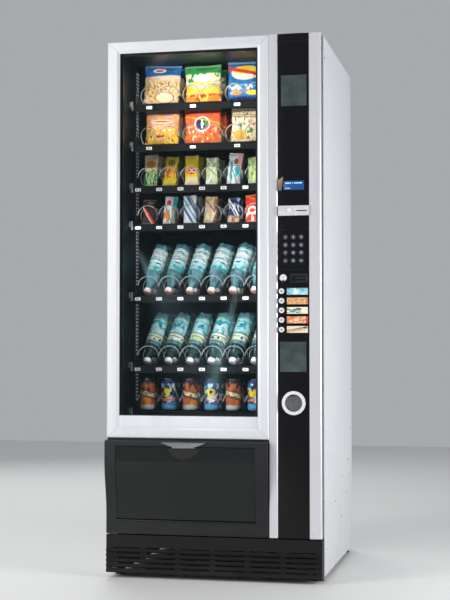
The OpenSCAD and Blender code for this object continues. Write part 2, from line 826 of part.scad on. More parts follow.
side_panels();
roof_panel();
back_panel();
insulation();
inner_liner();
base_frame();
base_grille();
levelling_feet();
hinge_brackets();
cooling_deck();
compressor();
condenser();
condenser_fan();
electrical_box();
snack_trays();
drink_trays();
shelf_rails();
spiral_motors();
shelf_spirals();
bar_spiral();
bar_stock();
bottle_spiral();
bottle_stock();
door_frame();
glass_surround();
glass_panes();
column_profiles();
column_fascia();
window_plates();
price_display();
coin_plate();
coin_reject_button();
keypad_plate();
card_reader();
lock_barrel();
coin_mechanism();
coin_cup();
coin_cup_flap();
delivery_housing();
delivery_bin();
delivery_flap();
security_flap();
light_strips();
for (k = [1 : 12]) key(k);
for (k = [1 : 5]) select_button(k);
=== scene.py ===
"""Looks of a glass-fronted snack and drink vending machine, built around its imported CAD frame.

Metres throughout. X runs to the right, the front faces -Y, Z is up, and the floor is at Z = 0.
"""

import math

import bmesh
import bpy
from mathutils import Matrix, Vector, noise


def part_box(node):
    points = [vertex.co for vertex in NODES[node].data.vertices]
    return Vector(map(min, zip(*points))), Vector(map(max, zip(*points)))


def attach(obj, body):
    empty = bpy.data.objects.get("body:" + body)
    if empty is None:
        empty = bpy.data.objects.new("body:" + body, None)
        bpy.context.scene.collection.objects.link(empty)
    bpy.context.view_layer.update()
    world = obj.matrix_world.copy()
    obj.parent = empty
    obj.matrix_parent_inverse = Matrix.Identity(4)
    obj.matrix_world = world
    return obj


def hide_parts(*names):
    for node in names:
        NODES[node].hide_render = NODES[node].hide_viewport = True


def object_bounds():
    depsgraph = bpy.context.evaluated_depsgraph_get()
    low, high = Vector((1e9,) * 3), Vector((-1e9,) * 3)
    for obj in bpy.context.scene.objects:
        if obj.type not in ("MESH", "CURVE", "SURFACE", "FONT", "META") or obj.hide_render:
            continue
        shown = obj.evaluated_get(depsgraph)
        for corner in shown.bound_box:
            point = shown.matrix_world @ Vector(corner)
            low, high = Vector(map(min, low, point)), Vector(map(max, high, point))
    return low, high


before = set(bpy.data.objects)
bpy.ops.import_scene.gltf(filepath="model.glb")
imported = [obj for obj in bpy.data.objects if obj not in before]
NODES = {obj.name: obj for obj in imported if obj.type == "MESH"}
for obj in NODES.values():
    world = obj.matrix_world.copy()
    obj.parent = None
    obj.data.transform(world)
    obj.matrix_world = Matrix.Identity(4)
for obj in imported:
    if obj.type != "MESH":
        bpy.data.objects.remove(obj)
cad_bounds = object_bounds()

# ---------------------------------------------------------------- layout, from the frame

LEFT, RIGHT = cad_bounds[0].x, cad_bounds[1].x
DOOR_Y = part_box("glass_surround")[0].y
TRAY_X = (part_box("snack_trays")[0].x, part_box("snack_trays")[1].x)
TRAY_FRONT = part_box("snack_trays")[0].y

SNACK_FLOORS = (1.644, 1.499, 1.352, 1.217)
DRINK_FLOORS = (0.965, 0.717, 0.556)
FLOORS = SNACK_FLOORS + DRINK_FLOORS
COLUMN_PITCH = 0.0778
COLUMNS = 6
WIDE, FINE = 0.072, 0.036
SPIRAL_R = 0.033
WIRE_R = 0.00175
SPIRAL_LIFT = 0.036
REST_GAP = 0.0012
SPIRAL_LEN = 0.468
SPIRAL_Y = TRAY_FRONT + 0.020
BAR_LANE = (3, 4)
BOTTLE_LANE = (5, 2)


def column_x(k):
    return TRAY_X[0] + 0.039 + COLUMN_PITCH * k


def pitch(row):
    return FINE if row in (2, 3) else WIDE


# ---------------------------------------------------------------- materials


def srgb(r, g, b):
    """A colour given as 0-255 screen values, made linear."""
    return tuple(((c / 255 + 0.055) / 1.055) ** 2.4 if c > 10 else c / 3295 for c in (r, g, b)) + (1.0,)


class Shader:
    """A Principled material with node-built variation, written as small steps."""

    def __init__(self, name, color, rough, metal=0.0, coat=0.0):
        self.mat = bpy.data.materials.new(name)
        self.mat.use_nodes = True
        self.tree = self.mat.node_tree
        self.bsdf = self.tree.nodes["Principled BSDF"]
        self.color = color
        self.socket = None
        self.height = None
        self.put("Base Color", color)
        self.put("Roughness", rough)
        self.put("Metallic", metal)
        if coat:
            self.put("Coat Weight", coat)
            self.put("Coat Roughness", 0.06)
        self.rough = rough

    def put(self, name, value):
        self.bsdf.inputs[name].default_value = value
        return self

    def node(self, kind, **values):
        made = self.tree.nodes.new(kind)
        for key, value in values.items():
            if hasattr(made, key):
                setattr(made, key, value)
            else:
                made.inputs[key.replace("_", " ")].default_value = value
        return made

    def link(self, a, b):
        self.tree.links.new(a, b)

    def noise(self, scale, stretch=(1, 1, 1), detail=3.0):
        """A noise field in metres of object space; stretch squeezes it along an axis."""
        place = self.node("ShaderNodeTexCoord")
        mapping = self.node("ShaderNodeMapping")
        mapping.inputs["Scale"].default_value = stretch
        field = self.node("ShaderNodeTexNoise", Scale=scale, Detail=detail)
        self.link(place.outputs["Object"], mapping.inputs["Vector"])
        self.link(mapping.outputs["Vector"], field.inputs["Vector"])
        return field.outputs["Fac"]

    def spread(self, field, low, high, a=0.3, b=0.7):
        """Maps the middle of a noise field onto low..high."""
        ranged = self.node("ShaderNodeMapRange")
        self.link(field, ranged.inputs["Value"])
        for key, value in (("From Min", a), ("From Max", b), ("To Min", low), ("To Max", high)):
            ranged.inputs[key].default_value = value
        return ranged.outputs["Result"]

    def mix(self, factor, a, b, blend="MIX"):
        mixed = self.node("ShaderNodeMix", data_type="RGBA", blend_type=blend)
        for value, target in ((factor, mixed.inputs[0]), (a, mixed.inputs[6]), (b, mixed.inputs[7])):
            if isinstance(value, bpy.types.NodeSocket):
                self.link(value, target)
            else:
                target.default_value = value
        return mixed.outputs[2]

    def base(self, socket):
        self.socket = socket
        self.link(socket, self.bsdf.inputs["Base Color"])
        return self

    def mottle(self, scale, amount, stretch=(1, 1, 1), to=None):
        """Lets the colour drift by a share of itself, or towards another colour."""
        start = self.socket if self.socket is not None else self.color
        if to is None:
            to = tuple(min(1.0, c * (1 + 3 * amount) + amount * 0.02) for c in self.color[:3]) + (1.0,)
        return self.base(self.mix(self.spread(self.noise(scale, stretch), 0.0, min(1.0, amount * 4)), start,
                                  to))

    def painted(self):
        """Multiplies in the colours painted on the mesh."""
        paint = self.node("ShaderNodeAttribute", attribute_name="paint")
        return self.base(paint.outputs["Color"])

    def roughen(self, scale, amount, stretch=(1, 1, 1)):
        field = self.noise(scale, stretch)
        self.link(self.spread(field, max(0.02, self.rough - amount), min(1.0, self.rough + amount)),
                  self.bsdf.inputs["Roughness"])
        return self

    def bump(self, scale, depth, stretch=(1, 1, 1), strength=0.5, detail=3.0):
        """Adds relief. depth is in metres, and several layers add up."""
        layer = self.node("ShaderNodeBump")
        layer.inputs["Strength"].default_value = strength
        layer.inputs["Distance"].default_value = depth
        self.link(self.noise(scale, stretch, detail), layer.inputs["Height"])
        if self.height is not None:
            self.link(self.height, layer.inputs["Normal"])
        self.height = layer.outputs["Normal"]
        self.link(self.height, self.bsdf.inputs["Normal"])
        return self

    def dirt(self, color, z_low, z_high, amount):
        """Lays a little dust or grime towards the floor, thinning out upwards."""
        place = self.node("ShaderNodeTexCoord")
        split = self.node("ShaderNodeSeparateXYZ")
        self.link(place.outputs["Object"], split.inputs[0])
        fade = self.spread(split.outputs["Z"], amount, 0.0, z_low, z_high)
        patch = self.node("ShaderNodeMath", operation="MULTIPLY")
        self.link(fade, patch.inputs[0])
        self.link(self.spread(self.noise(9.0, detail=6.0), 0.2, 1.0), patch.inputs[1])
        start = self.socket if self.socket is not None else self.color
        return self.base(self.mix(patch.outputs[0], start, color))


def emission(name, color, strength, rough=0.3):
    made = Shader(name, color, rough)
    made.put("Emission Color", color)
    made.put("Emission Strength", strength)
    made.mottle(30.0, 0.05)
    return made


def build_materials():
    dust = srgb(120, 112, 100)
    made = {
        "casing": Shader("casing_paint", srgb(205, 207, 210), 0.42, 0.0)
        .mottle(1.3, 0.03, to=srgb(192, 195, 200)).dirt(dust, 0.02, 0.35, 0.16)
        .roughen(6.0, 0.06).bump(900.0, 0.00015, strength=0.35).bump(35.0, 0.0005, strength=0.1),
        "back": Shader("back_steel", srgb(168, 171, 174), 0.38, 0.6)
        .mottle(2.0, 0.05).dirt(dust, 0.02, 0.5, 0.25).roughen(14.0, 0.1, (1, 1, 6)).bump(700.0, 0.0001,
                                                                                          strength=0.3),
        "silver": Shader("satin_silver", srgb(226, 228, 231), 0.36, 0.3)
        .mottle(2.2, 0.03, to=srgb(214, 217, 222)).roughen(60.0, 0.06, (1, 1, 0.05))
        .bump(1400.0, 0.00006, (1, 1, 0.02), 0.25).bump(14.0, 0.0006, strength=0.06),
        "profile": Shader("profile_silver", srgb(216, 215, 220), 0.32, 0.35)
        .mottle(1.6, 0.03, (3, 3, 0.3), to=srgb(200, 200, 208)).roughen(80.0, 0.05, (1, 1, 0.03))
        .bump(1600.0, 0.00005, (1, 1, 0.01), 0.25),
        "fascia": Shader("fascia_gloss", srgb(6, 6, 8), 0.16).put("Specular IOR Level", 0.3)
        .mottle(3.0, 0.05, to=srgb(10, 10, 13)).roughen(45.0, 0.05).bump(22.0, 0.0004, strength=0.04),
        "window": Shader("smoked_window", srgb(44, 52, 51), 0.16, 0.0, 0.2)
        .mottle(16.0, 0.16, to=srgb(84, 100, 100)).roughen(20.0, 0.05),
        "charcoal": Shader("charcoal_plastic", srgb(30, 31, 32), 0.42).put("Specular IOR Level", 0.3)
        .mottle(4.0, 0.05, to=srgb(30, 31, 33)).roughen(20.0, 0.07).bump(2200.0, 0.00008, strength=0.35),
        "smoke": Shader("smoked_flap", srgb(13, 15, 16), 0.18).put("Specular IOR Level", 0.4)
        .mottle(3.2, 0.1, to=srgb(22, 26, 27)).roughen(30.0, 0.04).bump(10.0, 0.0008, strength=0.05),
        "grille": Shader("grille_plastic", srgb(14, 14, 15), 0.5).put("Specular IOR Level", 0.25)
        .mottle(5.0, 0.06, to=srgb(20, 20, 22)).dirt(dust, 0.015, 0.08, 0.06).bump(1800.0, 0.0001,
                                                                                   strength=0.4),
        "liner": Shader("liner_paint", srgb(8, 13, 15), 0.42).put("Specular IOR Level", 0.35)
        .mottle(2.5, 0.12, to=srgb(8, 28, 34)).roughen(10.0, 0.08).bump(60.0, 0.0002, strength=0.06),
        "tray": Shader("tray_paint", srgb(12, 13, 15), 0.4).put("Specular IOR Level", 0.4)
        .mottle(8.0, 0.12, to=srgb(8, 9, 11)).roughen(30.0, 0.1).bump(500.0, 0.0001, strength=0.25),
        "rail": Shader("rail_steel", srgb(46, 52, 55), 0.4, 0.6)
        .mottle(20.0, 0.1).roughen(60.0, 0.1, (1, 1, 0.1)).bump(900.0, 0.0001, strength=0.2),
        "zinc": Shader("zinc_steel", srgb(176, 178, 180), 0.3, 0.95)
        .mottle(38.0, 0.12, to=srgb(140, 144, 150)).roughen(26.0, 0.1).bump(140.0, 0.0002, strength=0.15),
        "wire": Shader("bright_wire", srgb(196, 199, 202), 0.22, 0.5)
        .mottle(60.0, 0.06).roughen(120.0, 0.06).bump(600.0, 0.00008, strength=0.2),
        "steel": Shader("brushed_steel", srgb(150, 151, 153), 0.3, 0.85)
        .mottle(24.0, 0.06).roughen(180.0, 0.1, (0.06, 1, 1)).bump(1500.0, 0.00006, (0.03, 1, 1), 0.35),
        "plate": Shader("satin_plate", srgb(224, 225, 226), 0.3, 0.3)
        .mottle(24.0, 0.04, to=srgb(206, 208, 210)).roughen(180.0, 0.1, (0.06, 1, 1))
        .bump(1500.0, 0.00006, (0.03, 1, 1), 0.3),
        "button": Shader("turned_steel", srgb(238, 239, 240), 0.28, 0.25)
        .mottle(40.0, 0.05, to=srgb(222, 224, 226)).roughen(200.0, 0.06).bump(900.0, 0.00005, strength=0.3),
        "cup_leaf": Shader("cup_leaf_steel", srgb(128, 130, 130), 0.34, 0.85)
        .mottle(50.0, 0.15, (0.2, 1, 1), to=srgb(86, 88, 88)).roughen(140.0, 0.12, (1, 1, 0.1)),
        "keypad": Shader("keypad_gloss", srgb(6, 7, 12), 0.18).put("Specular IOR Level", 0.3)
        .mottle(9.0, 0.08, to=srgb(10, 11, 18)).roughen(50.0, 0.04),
        "key": Shader("key_plastic", srgb(60, 62, 70), 0.3, 0.1, 0.1)
        .mottle(70.0, 0.1, to=srgb(40, 42, 50)).roughen(90.0, 0.08).bump(900.0, 0.00008, strength=0.3),
        "digit": Shader("digit_ink", srgb(226, 230, 242), 0.45).mottle(200.0, 0.03).bump(600.0, 0.00002),
        "black": Shader("satin_black", srgb(17, 17, 19), 0.45)
        .mottle(8.0, 0.06, to=srgb(28, 28, 31)).roughen(20.0, 0.08).bump(1200.0, 0.00008, strength=0.3),
        "rubber": Shader("black_rubber", srgb(20, 20, 21), 0.75)
        .mottle(14.0, 0.08, to=srgb(38, 37, 36)).bump(700.0, 0.0002, strength=0.4),
        "enamel": Shader("black_enamel", srgb(12, 12, 13), 0.2, 0.0, 0.5)
        .mottle(7.0, 0.05).bump(120.0, 0.0002, strength=0.15),
        "fins": Shader("fin_aluminium", srgb(176, 178, 181), 0.32, 0.9)
        .mottle(60.0, 0.15, (1, 1, 0.2)).roughen(100.0, 0.1).bump(500.0, 0.0001, strength=0.2),
        "plastic": Shader("grey_plastic", srgb(150, 152, 154), 0.45)
        .mottle(6.0, 0.05, to=srgb(132, 134, 137)).bump(1500.0, 0.0001, strength=0.3),
        "dark_plastic": Shader("dark_plastic", srgb(36, 38, 41), 0.4)
        .mottle(9.0, 0.07, to=srgb(50, 53, 57)).bump(1500.0, 0.0001, strength=0.3),
        "foam": Shader("foam_block", srgb(214, 200, 150), 0.9)
        .mottle(60.0, 0.1, to=srgb(190, 172, 118)).bump(500.0, 0.0008, strength=0.5),
        "label_card": Shader("printed_card", (1, 1, 1, 1), 0.3, 0.0, 0.4)
        .painted().roughen(60.0, 0.05).bump(400.0, 0.00005, strength=0.15),
        "film": Shader("printed_film", (1, 1, 1, 1), 0.24, 0.0, 0.45)
        .painted().roughen(40.0, 0.1).bump(70.0, 0.0012, strength=0.32).bump(260.0, 0.0004, strength=0.2),
        "sleeve": Shader("bottle_sleeve", (1, 1, 1, 1), 0.16, 0.0, 0.5).put("Transmission Weight", 0.15)
        .painted().roughen(40.0, 0.06).bump(120.0, 0.0008, (1, 1, 0.4), 0.3),
        "can": Shader("printed_can", (1, 1, 1, 1), 0.2, 0.35, 0.4)
        .painted().roughen(60.0, 0.06).bump(300.0, 0.0001, strength=0.1),
        "can_end": Shader("can_aluminium", srgb(120, 123, 126), 0.22, 1.0)
        .mottle(70.0, 0.1).roughen(120.0, 0.08).bump(500.0, 0.0001, strength=0.15),
        "cap": Shader("screw_cap", (1, 1, 1, 1), 0.35, 0.0, 0.15)
        .painted().roughen(80.0, 0.06).bump(500.0, 0.0001, strength=0.2),
        "tag": Shader("price_tag", (1, 1, 1, 1), 0.4).painted().bump(500.0, 0.00005, strength=0.2),
        # near-black fill of the finger recess: painted shade where the hollow under the lip would be
        "shaded_recess": Shader("painted_shade_grip_recess", srgb(7, 8, 8), 0.4)
        .mottle(20.0, 0.05, to=srgb(26, 29, 29)).bump(900.0, 0.0001, strength=0.3),
        # the rail stud rims glow faintly though they are no lamp: a painted highlight
        "stud_painted_glow": emission("stud_rims_painted_glow", srgb(205, 214, 214), 0.22, 0.4),
        "clip": Shader("clip_white", srgb(128, 134, 134), 0.35, 0.3)
        .mottle(50.0, 0.1, to=srgb(150, 158, 160)).bump(500.0, 0.0001, strength=0.3),
        "screen": emission("lit_screen", srgb(14, 62, 112), 0.62, 0.3),
        "screen_mark": emission("screen_mark", srgb(170, 200, 235), 0.9, 0.3),
        # the wedge left of the screen: its painted colours are a highlight, grey below and orange along the top
        "glint_wedge": Shader("painted_glint_wedge_print", (1, 1, 1, 1), 0.25, 0.2, 0.5).painted().bump(300.0, 0.00005,
                                                                                    strength=0.1),
        "lamp": emission("lamp_tube", srgb(226, 246, 255), 3.0, 0.4),
    }
    # the last two colours are the painted highlight and painted shade streaks of refraction
    made["bottle"] = bottle_shader("clear_bottle", srgb(56, 132, 142), srgb(160, 206, 212), srgb(10, 66, 78))
    # a darker copy of the bottle material: painted shade for the row-6 necks inside the spiral
    made["bottle_painted_shade_neck"] = bottle_shader("painted_shade_neck", srgb(10, 34, 40), srgb(70, 120, 126), srgb(3, 14, 18))
    made["glass"] = glass_shader()
    return {key: value.mat for key, value in made.items()}


def bottle_shader(name, body, painted_glint, painted_shade):
    """Water in clear plastic: streaks of pale painted highlight and deep teal painted shade run along the bottle
    under a glossy skin, standing in for refraction.
    """
    made = Shader(name, body, 0.1, 0.0, 0.8)
    made.put("Transmission Weight", 0.35)
    made.put("IOR", 1.4)
    # darker teal streaks: painted shade of refraction in the water
    made.mottle(34.0, 0.22, (1, 1, 0.35), to=painted_shade)
    # pale cyan streaks: painted highlight of refraction in the water
    made.mottle(75.0, 0.16, (1, 1, 0.5), to=painted_glint)
    made.roughen(50.0, 0.06)
    made.bump(90.0, 0.0016, (1, 1, 0.6), 0.35)
    return made


def glass_shader():
    made = Shader("door_glass", srgb(40, 52, 54), 0.03)
    made.put("Alpha", 0.05)
    made.put("IOR", 1.45)
    made.mottle(1.2, 0.05, to=srgb(52, 68, 70))
    made.roughen(3.0, 0.01)
    return made


MATS = build_materials()

CAD_LOOKS = {
    "side_panels": "casing", "roof_panel": "casing", "back_panel": "back", "insulation": "foam",
    "inner_liner": "liner", "base_frame": "black", "base_grille": "grille", "levelling_feet": "rubber",
    "hinge_brackets": "zinc", "cooling_deck": "liner", "compressor": "enamel", "condenser": "fins",
    "condenser_fan": "dark_plastic", "electrical_box": "plastic", "snack_trays": "tray",
    "drink_trays": "tray",
    "shelf_rails": "rail", "spiral_motors": "dark_plastic", "door_frame": "black", "glass_surround": "silver",
    "glass_panes": "glass", "column_profiles": "profile", "column_fascia": "fascia",
    "window_plates": "window",
    "price_display": "keypad", "coin_plate": "plate", "coin_reject_button": "button",
    "keypad_plate": "keypad",
    "card_reader": "black", "lock_barrel": "button", "coin_mechanism": "dark_plastic", "coin_cup": "button",
    "coin_cup_flap": "cup_leaf", "delivery_housing": "charcoal", "delivery_bin": "tray",
    "delivery_flap": "smoke",
    "security_flap": "tray", "light_strips": "lamp",
}


def look_of(node):
    if node.startswith("key_"):
        return "key"
    if node.startswith("select_button"):
        return "button"
    return CAD_LOOKS.get(node)


def dress_cad():
    for name, obj in NODES.items():
        look = look_of(name)
        if look:
            obj.data.materials.clear()
            obj.data.materials.append(MATS[look])
    flap = NODES["delivery_flap"].data
    flap.materials.append(MATS["steel"])
    lip_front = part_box("delivery_flap")[0].y + 0.0056
    for face in flap.polygons:
        if all(flap.vertices[v].co.y < lip_front for v in face.vertices):
            face.material_index = 1
    strips = NODES["light_strips"].data
    strips.materials.append(MATS["black"])
    for face in strips.polygons:
        if face.normal.y < 0.3:
            face.material_index = 1


# ---------------------------------------------------------------- mesh tools


class Build:
    """Collects parts of one piece, each with a material number and a colour per vertex."""

    def __init__(self):
        self.verts, self.faces, self.mats, self.paint = [], [], [], []

    def add(self, verts, faces, mat=0, colors=None, move=None):
        first = len(self.verts)
        if move is not None:
            verts = [move @ Vector(v) for v in verts]
        self.verts += [tuple(v) for v in verts]
        self.faces += [[first + i for i in face] for face in faces]
        self.mats += [mat] * len(faces)
        self.paint += colors or [(1, 1, 1, 1)] * len(verts)
        return self

    def finish(self, name, body, looks, replaces=(), smooth=True, angle=40):
        mesh = bpy.data.meshes.new(name)
        mesh.from_pydata(self.verts, [], self.faces)
        for look in looks:
            mesh.materials.append(MATS[look])
        mesh.polygons.foreach_set("material_index", self.mats)
        layer = mesh.color_attributes.new("paint", "FLOAT_COLOR", "POINT")
        layer.data.foreach_set("color", [c for colour in self.paint for c in colour])
        mesh.update()
        obj = link_new(name, mesh)
        if smooth:
            mesh.polygons.foreach_set("use_smooth", [True] * len(mesh.polygons))
            mesh.set_sharp_from_angle(angle=math.radians(angle))
        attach(obj, body)
        if replaces:
            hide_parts(*replaces)
        return obj


def bevelled_box(lo, hi, radius, steps=2):
    """Vertices and faces of a box with rounded edges."""
    shape = bmesh.new()
    size = Vector(hi) - Vector(lo)
    middle = (Vector(hi) + Vector(lo)) / 2
    bmesh.ops.create_cube(shape, size=1.0)
    for v in shape.verts:
        v.co = Vector((v.co.x * size.x, v.co.y * size.y, v.co.z * size.z)) + middle
    bmesh.ops.bevel(shape, geom=shape.edges[:], offset=min(radius, min(size) * 0.45), segments=steps,
                    affect="EDGES", profile=0.5)
    verts = [v.co.copy() for v in shape.verts]
    faces = [[v.index for v in f.verts] for f in shape.faces]
    shape.free()
    return verts, faces


def lathe(profile, around, paint=None, wobble=None):
    """Turns [radius, height] points about Z. paint(angle, height) colours each vertex."""
    verts, faces, colors = [], [], []
    for r, z in profile:
        for k in range(around):
            a = 2 * math.pi * k / around
            rr = r + (wobble(a, z) if wobble else 0.0)
            verts.append((rr * math.cos(a), rr * math.sin(a), z))
            colors.append(paint(a, z) if paint else (1, 1, 1, 1))
    rings = len(profile)
    for i in range(rings - 1):
        for k in range(around):
            n = (k + 1) % around
            faces.append([i * around + k, i * around + n, (i + 1) * around + n, (i + 1) * around + k])
    faces.append(list(range(around))[::-1])
    faces.append([(rings - 1) * around + k for k in range(around)])
    return verts, faces, colors


def tube(points, radius, sides=10):
    """A round wire along a list of points, closed at its ends."""
    verts, faces = [], []
    up = Vector((0, 1, 0))
    for i, p in enumerate(points):
        ahead = points[min(i + 1, len(points) - 1)] - points[max(i - 1, 0)]
        side = ahead.cross(up).normalized()
        over = side.cross(ahead).normalized()
        for k in range(sides):
            a = 2 * math.pi * k / sides
            verts.append(p + side * (radius * math.cos(a)) + over * (radius * math.sin(a)))
    for i in range(len(points) - 1):
        for k in range(sides):
            n = (k + 1) % sides
            faces.append([i * sides + k, i * sides + n, (i + 1) * sides + n, (i + 1) * sides + k])
    faces.append(list(range(sides))[::-1])
    faces.append([(len(points) - 1) * sides + k for k in range(sides)])
    return verts, faces


def two_sided_faces(columns, rows):
    """Faces of a front and a back grid of points, joined round their rim."""
    wide = columns + 1
    side = (rows + 1) * wide
    faces = []
    for face in (0, 1):
        for i in range(rows):
            for k in range(columns):
                a = face * side + i * wide + k
                quad = [a, a + 1, a + wide + 1, a + wide]
                faces.append(quad if face == 0 else quad[::-1])
    rim = list(range(wide)) + [i * wide + columns for i in range(1, rows + 1)]
    rim += [rows * wide + k for k in range(columns - 1, -1, -1)]
    rim += [i * wide for i in range(rows - 1, 0, -1)]
    return faces + [[b, a, a + side, b + side] for a, b in zip(rim, rim[1:] + rim[:1])]


def prism_faces(n):
    """Faces of a prism whose n front points come before its n back points."""
    sides = [[(k + 1) % n, k, k + n, (k + 1) % n + n] for k in range(n)]
    return [list(range(n)), list(range(2 * n - 1, n - 1, -1))] + sides


def centre(box):
    return (box[0] + box[1]) / 2


def link_new(name, data):
    """A new object with this data, in the scene."""
    made = bpy.data.objects.new(name, data)
    bpy.context.collection.objects.link(made)
    return made


# ---------------------------------------------------------------- spirals


def helix(row, hand, back_gap=0.0):
    """A spiral wire with its hub and the arm that joins them."""
    p = pitch(row)
    turns = SPIRAL_LEN / p
    steps = int(turns * 28)
    points = []
    for i in range(steps + 1):
        a = 2 * math.pi * turns * i / steps
        points.append(Vector((-math.cos(a) * SPIRAL_R * hand, a / (2 * math.pi) * p, math.sin(a) * SPIRAL_R)))
    end = points[-1]
    points += [Vector((end.x * f, SPIRAL_LEN + 0.001, end.z * f)) for f in (0.94, 0.6, 0.3)]
    wire = tube(points, WIRE_R)
    hub = lathe([(0.004, 0.0), (0.0115, 0.0), (0.012, 0.0008), (0.012, 0.0045), (0.0085, 0.0052),
                 (0.0085, 0.0082 - back_gap), (0.004, 0.0082 - back_gap)], 28)
    return wire, hub


def spiral_piece(build, row, column, hand, back_gap=0.0):
    place = Matrix.Translation((column_x(column), SPIRAL_Y, FLOORS[row] + SPIRAL_LIFT))
    wire, hub = helix(row, hand, back_gap)
    build.add(wire[0], wire[1], 0, move=place)
    turn = place @ Matrix.Translation((0, SPIRAL_LEN - 0.0002, 0)) @ Matrix.Rotation(-math.pi / 2, 4, "X")
    build.add(hub[0], hub[1], 1, move=turn)


def make_spirals():
    still = Build()
    for row in range(len(FLOORS)):
        for column in range(COLUMNS):
            if (row, column) not in (BAR_LANE, BOTTLE_LANE):
                hand = -1 if row < 2 and column % 2 == 0 else 1
                spiral_piece(still, row, column, hand)
    still.finish("shelf_spiral_wires", "cabinet", ["wire", "dark_plastic"], ["shelf_spirals"])
    for name, lane in (("bar_spiral", BAR_LANE), ("bottle_spiral", BOTTLE_LANE)):
        moving = Build()
        spiral_piece(moving, lane[0], lane[1], 1, 0.0006)
        moving.finish(name + "_wire", name, ["wire", "dark_plastic"], [name])


# ---------------------------------------------------------------- printed packets

WHITE = (0.93, 0.93, 0.9)
CREAM = (0.9, 0.78, 0.5)
BEIGE = (0.72, 0.55, 0.3)
BROWN = (0.32, 0.15, 0.06)
DARK = (0.035, 0.02, 0.02)
NAVY = (0.02, 0.035, 0.13)
BLUE = (0.02, 0.16, 0.42)
SKY = (0.12, 0.42, 0.72)
TEAL = (0.03, 0.42, 0.46)
GREEN = (0.03, 0.32, 0.08)
LIME = (0.48, 0.62, 0.16)
PALE_GREEN = (0.62, 0.74, 0.4)
YELLOW = (0.9, 0.68, 0.03)
GOLD = (0.8, 0.48, 0.06)
ORANGE = (0.85, 0.25, 0.03)
RED = (0.72, 0.04, 0.02)
PINK = (0.85, 0.45, 0.42)
SILVER = (0.6, 0.63, 0.66)


def soft(value, edge=0.06):
    """1 where value is below zero, fading out over edge."""
    return max(0.0, min(1.0, 0.5 - value / edge))


def layer_cover(layer, u, v, seed):
    """How much a print layer covers the point (u, v): u -1..1 across, v 0..1 up."""
    kind, a = layer[0], layer[2:]
    if kind == "all":
        return 1.0
    if kind == "above":
        return soft(a[0] - v + a[1] * math.sin(u * a[2] + seed), 0.02)
    if kind == "below":
        return soft(v - a[0] - a[1] * math.sin(u * a[2] + seed), 0.02)
    if kind == "disc":
        cu, cv, ru, rv = a
        return soft(math.hypot((u - cu) / ru, (v - cv) / rv) - 1, 0.12)
    if kind == "ring":
        cu, cv, ru, rv, width = a
        return soft(abs(math.hypot((u - cu) / ru, (v - cv) / rv) - 1) - width, 0.1)
    if kind == "bites":
        low, high, size, share = a
        field = noise.noise(Vector((u * size + seed * 7.1, v * size * 1.4, seed * 3.3)))
        inside = soft(low - v, 0.04) * soft(v - high, 0.04)
        return inside * soft(share - field, 0.08)
    if kind == "slash":
        at, lean, width = a
        return soft(abs(u * lean + (v - at)) - width, 0.03)
    if kind == "side":
        return soft(a[0] - u, 0.05)
    if kind == "vee":
        return soft(abs(v - a[0] - abs(u) * a[1]) - a[2], 0.03)
    return 0.0


def print_color(layers, u, v, seed):
    color = Vector((0.5, 0.5, 0.5))
    for layer in layers:
        color = color.lerp(Vector(layer[1]), layer_cover(layer, u, v, seed))
    return (color.x, color.y, color.z, 1.0)


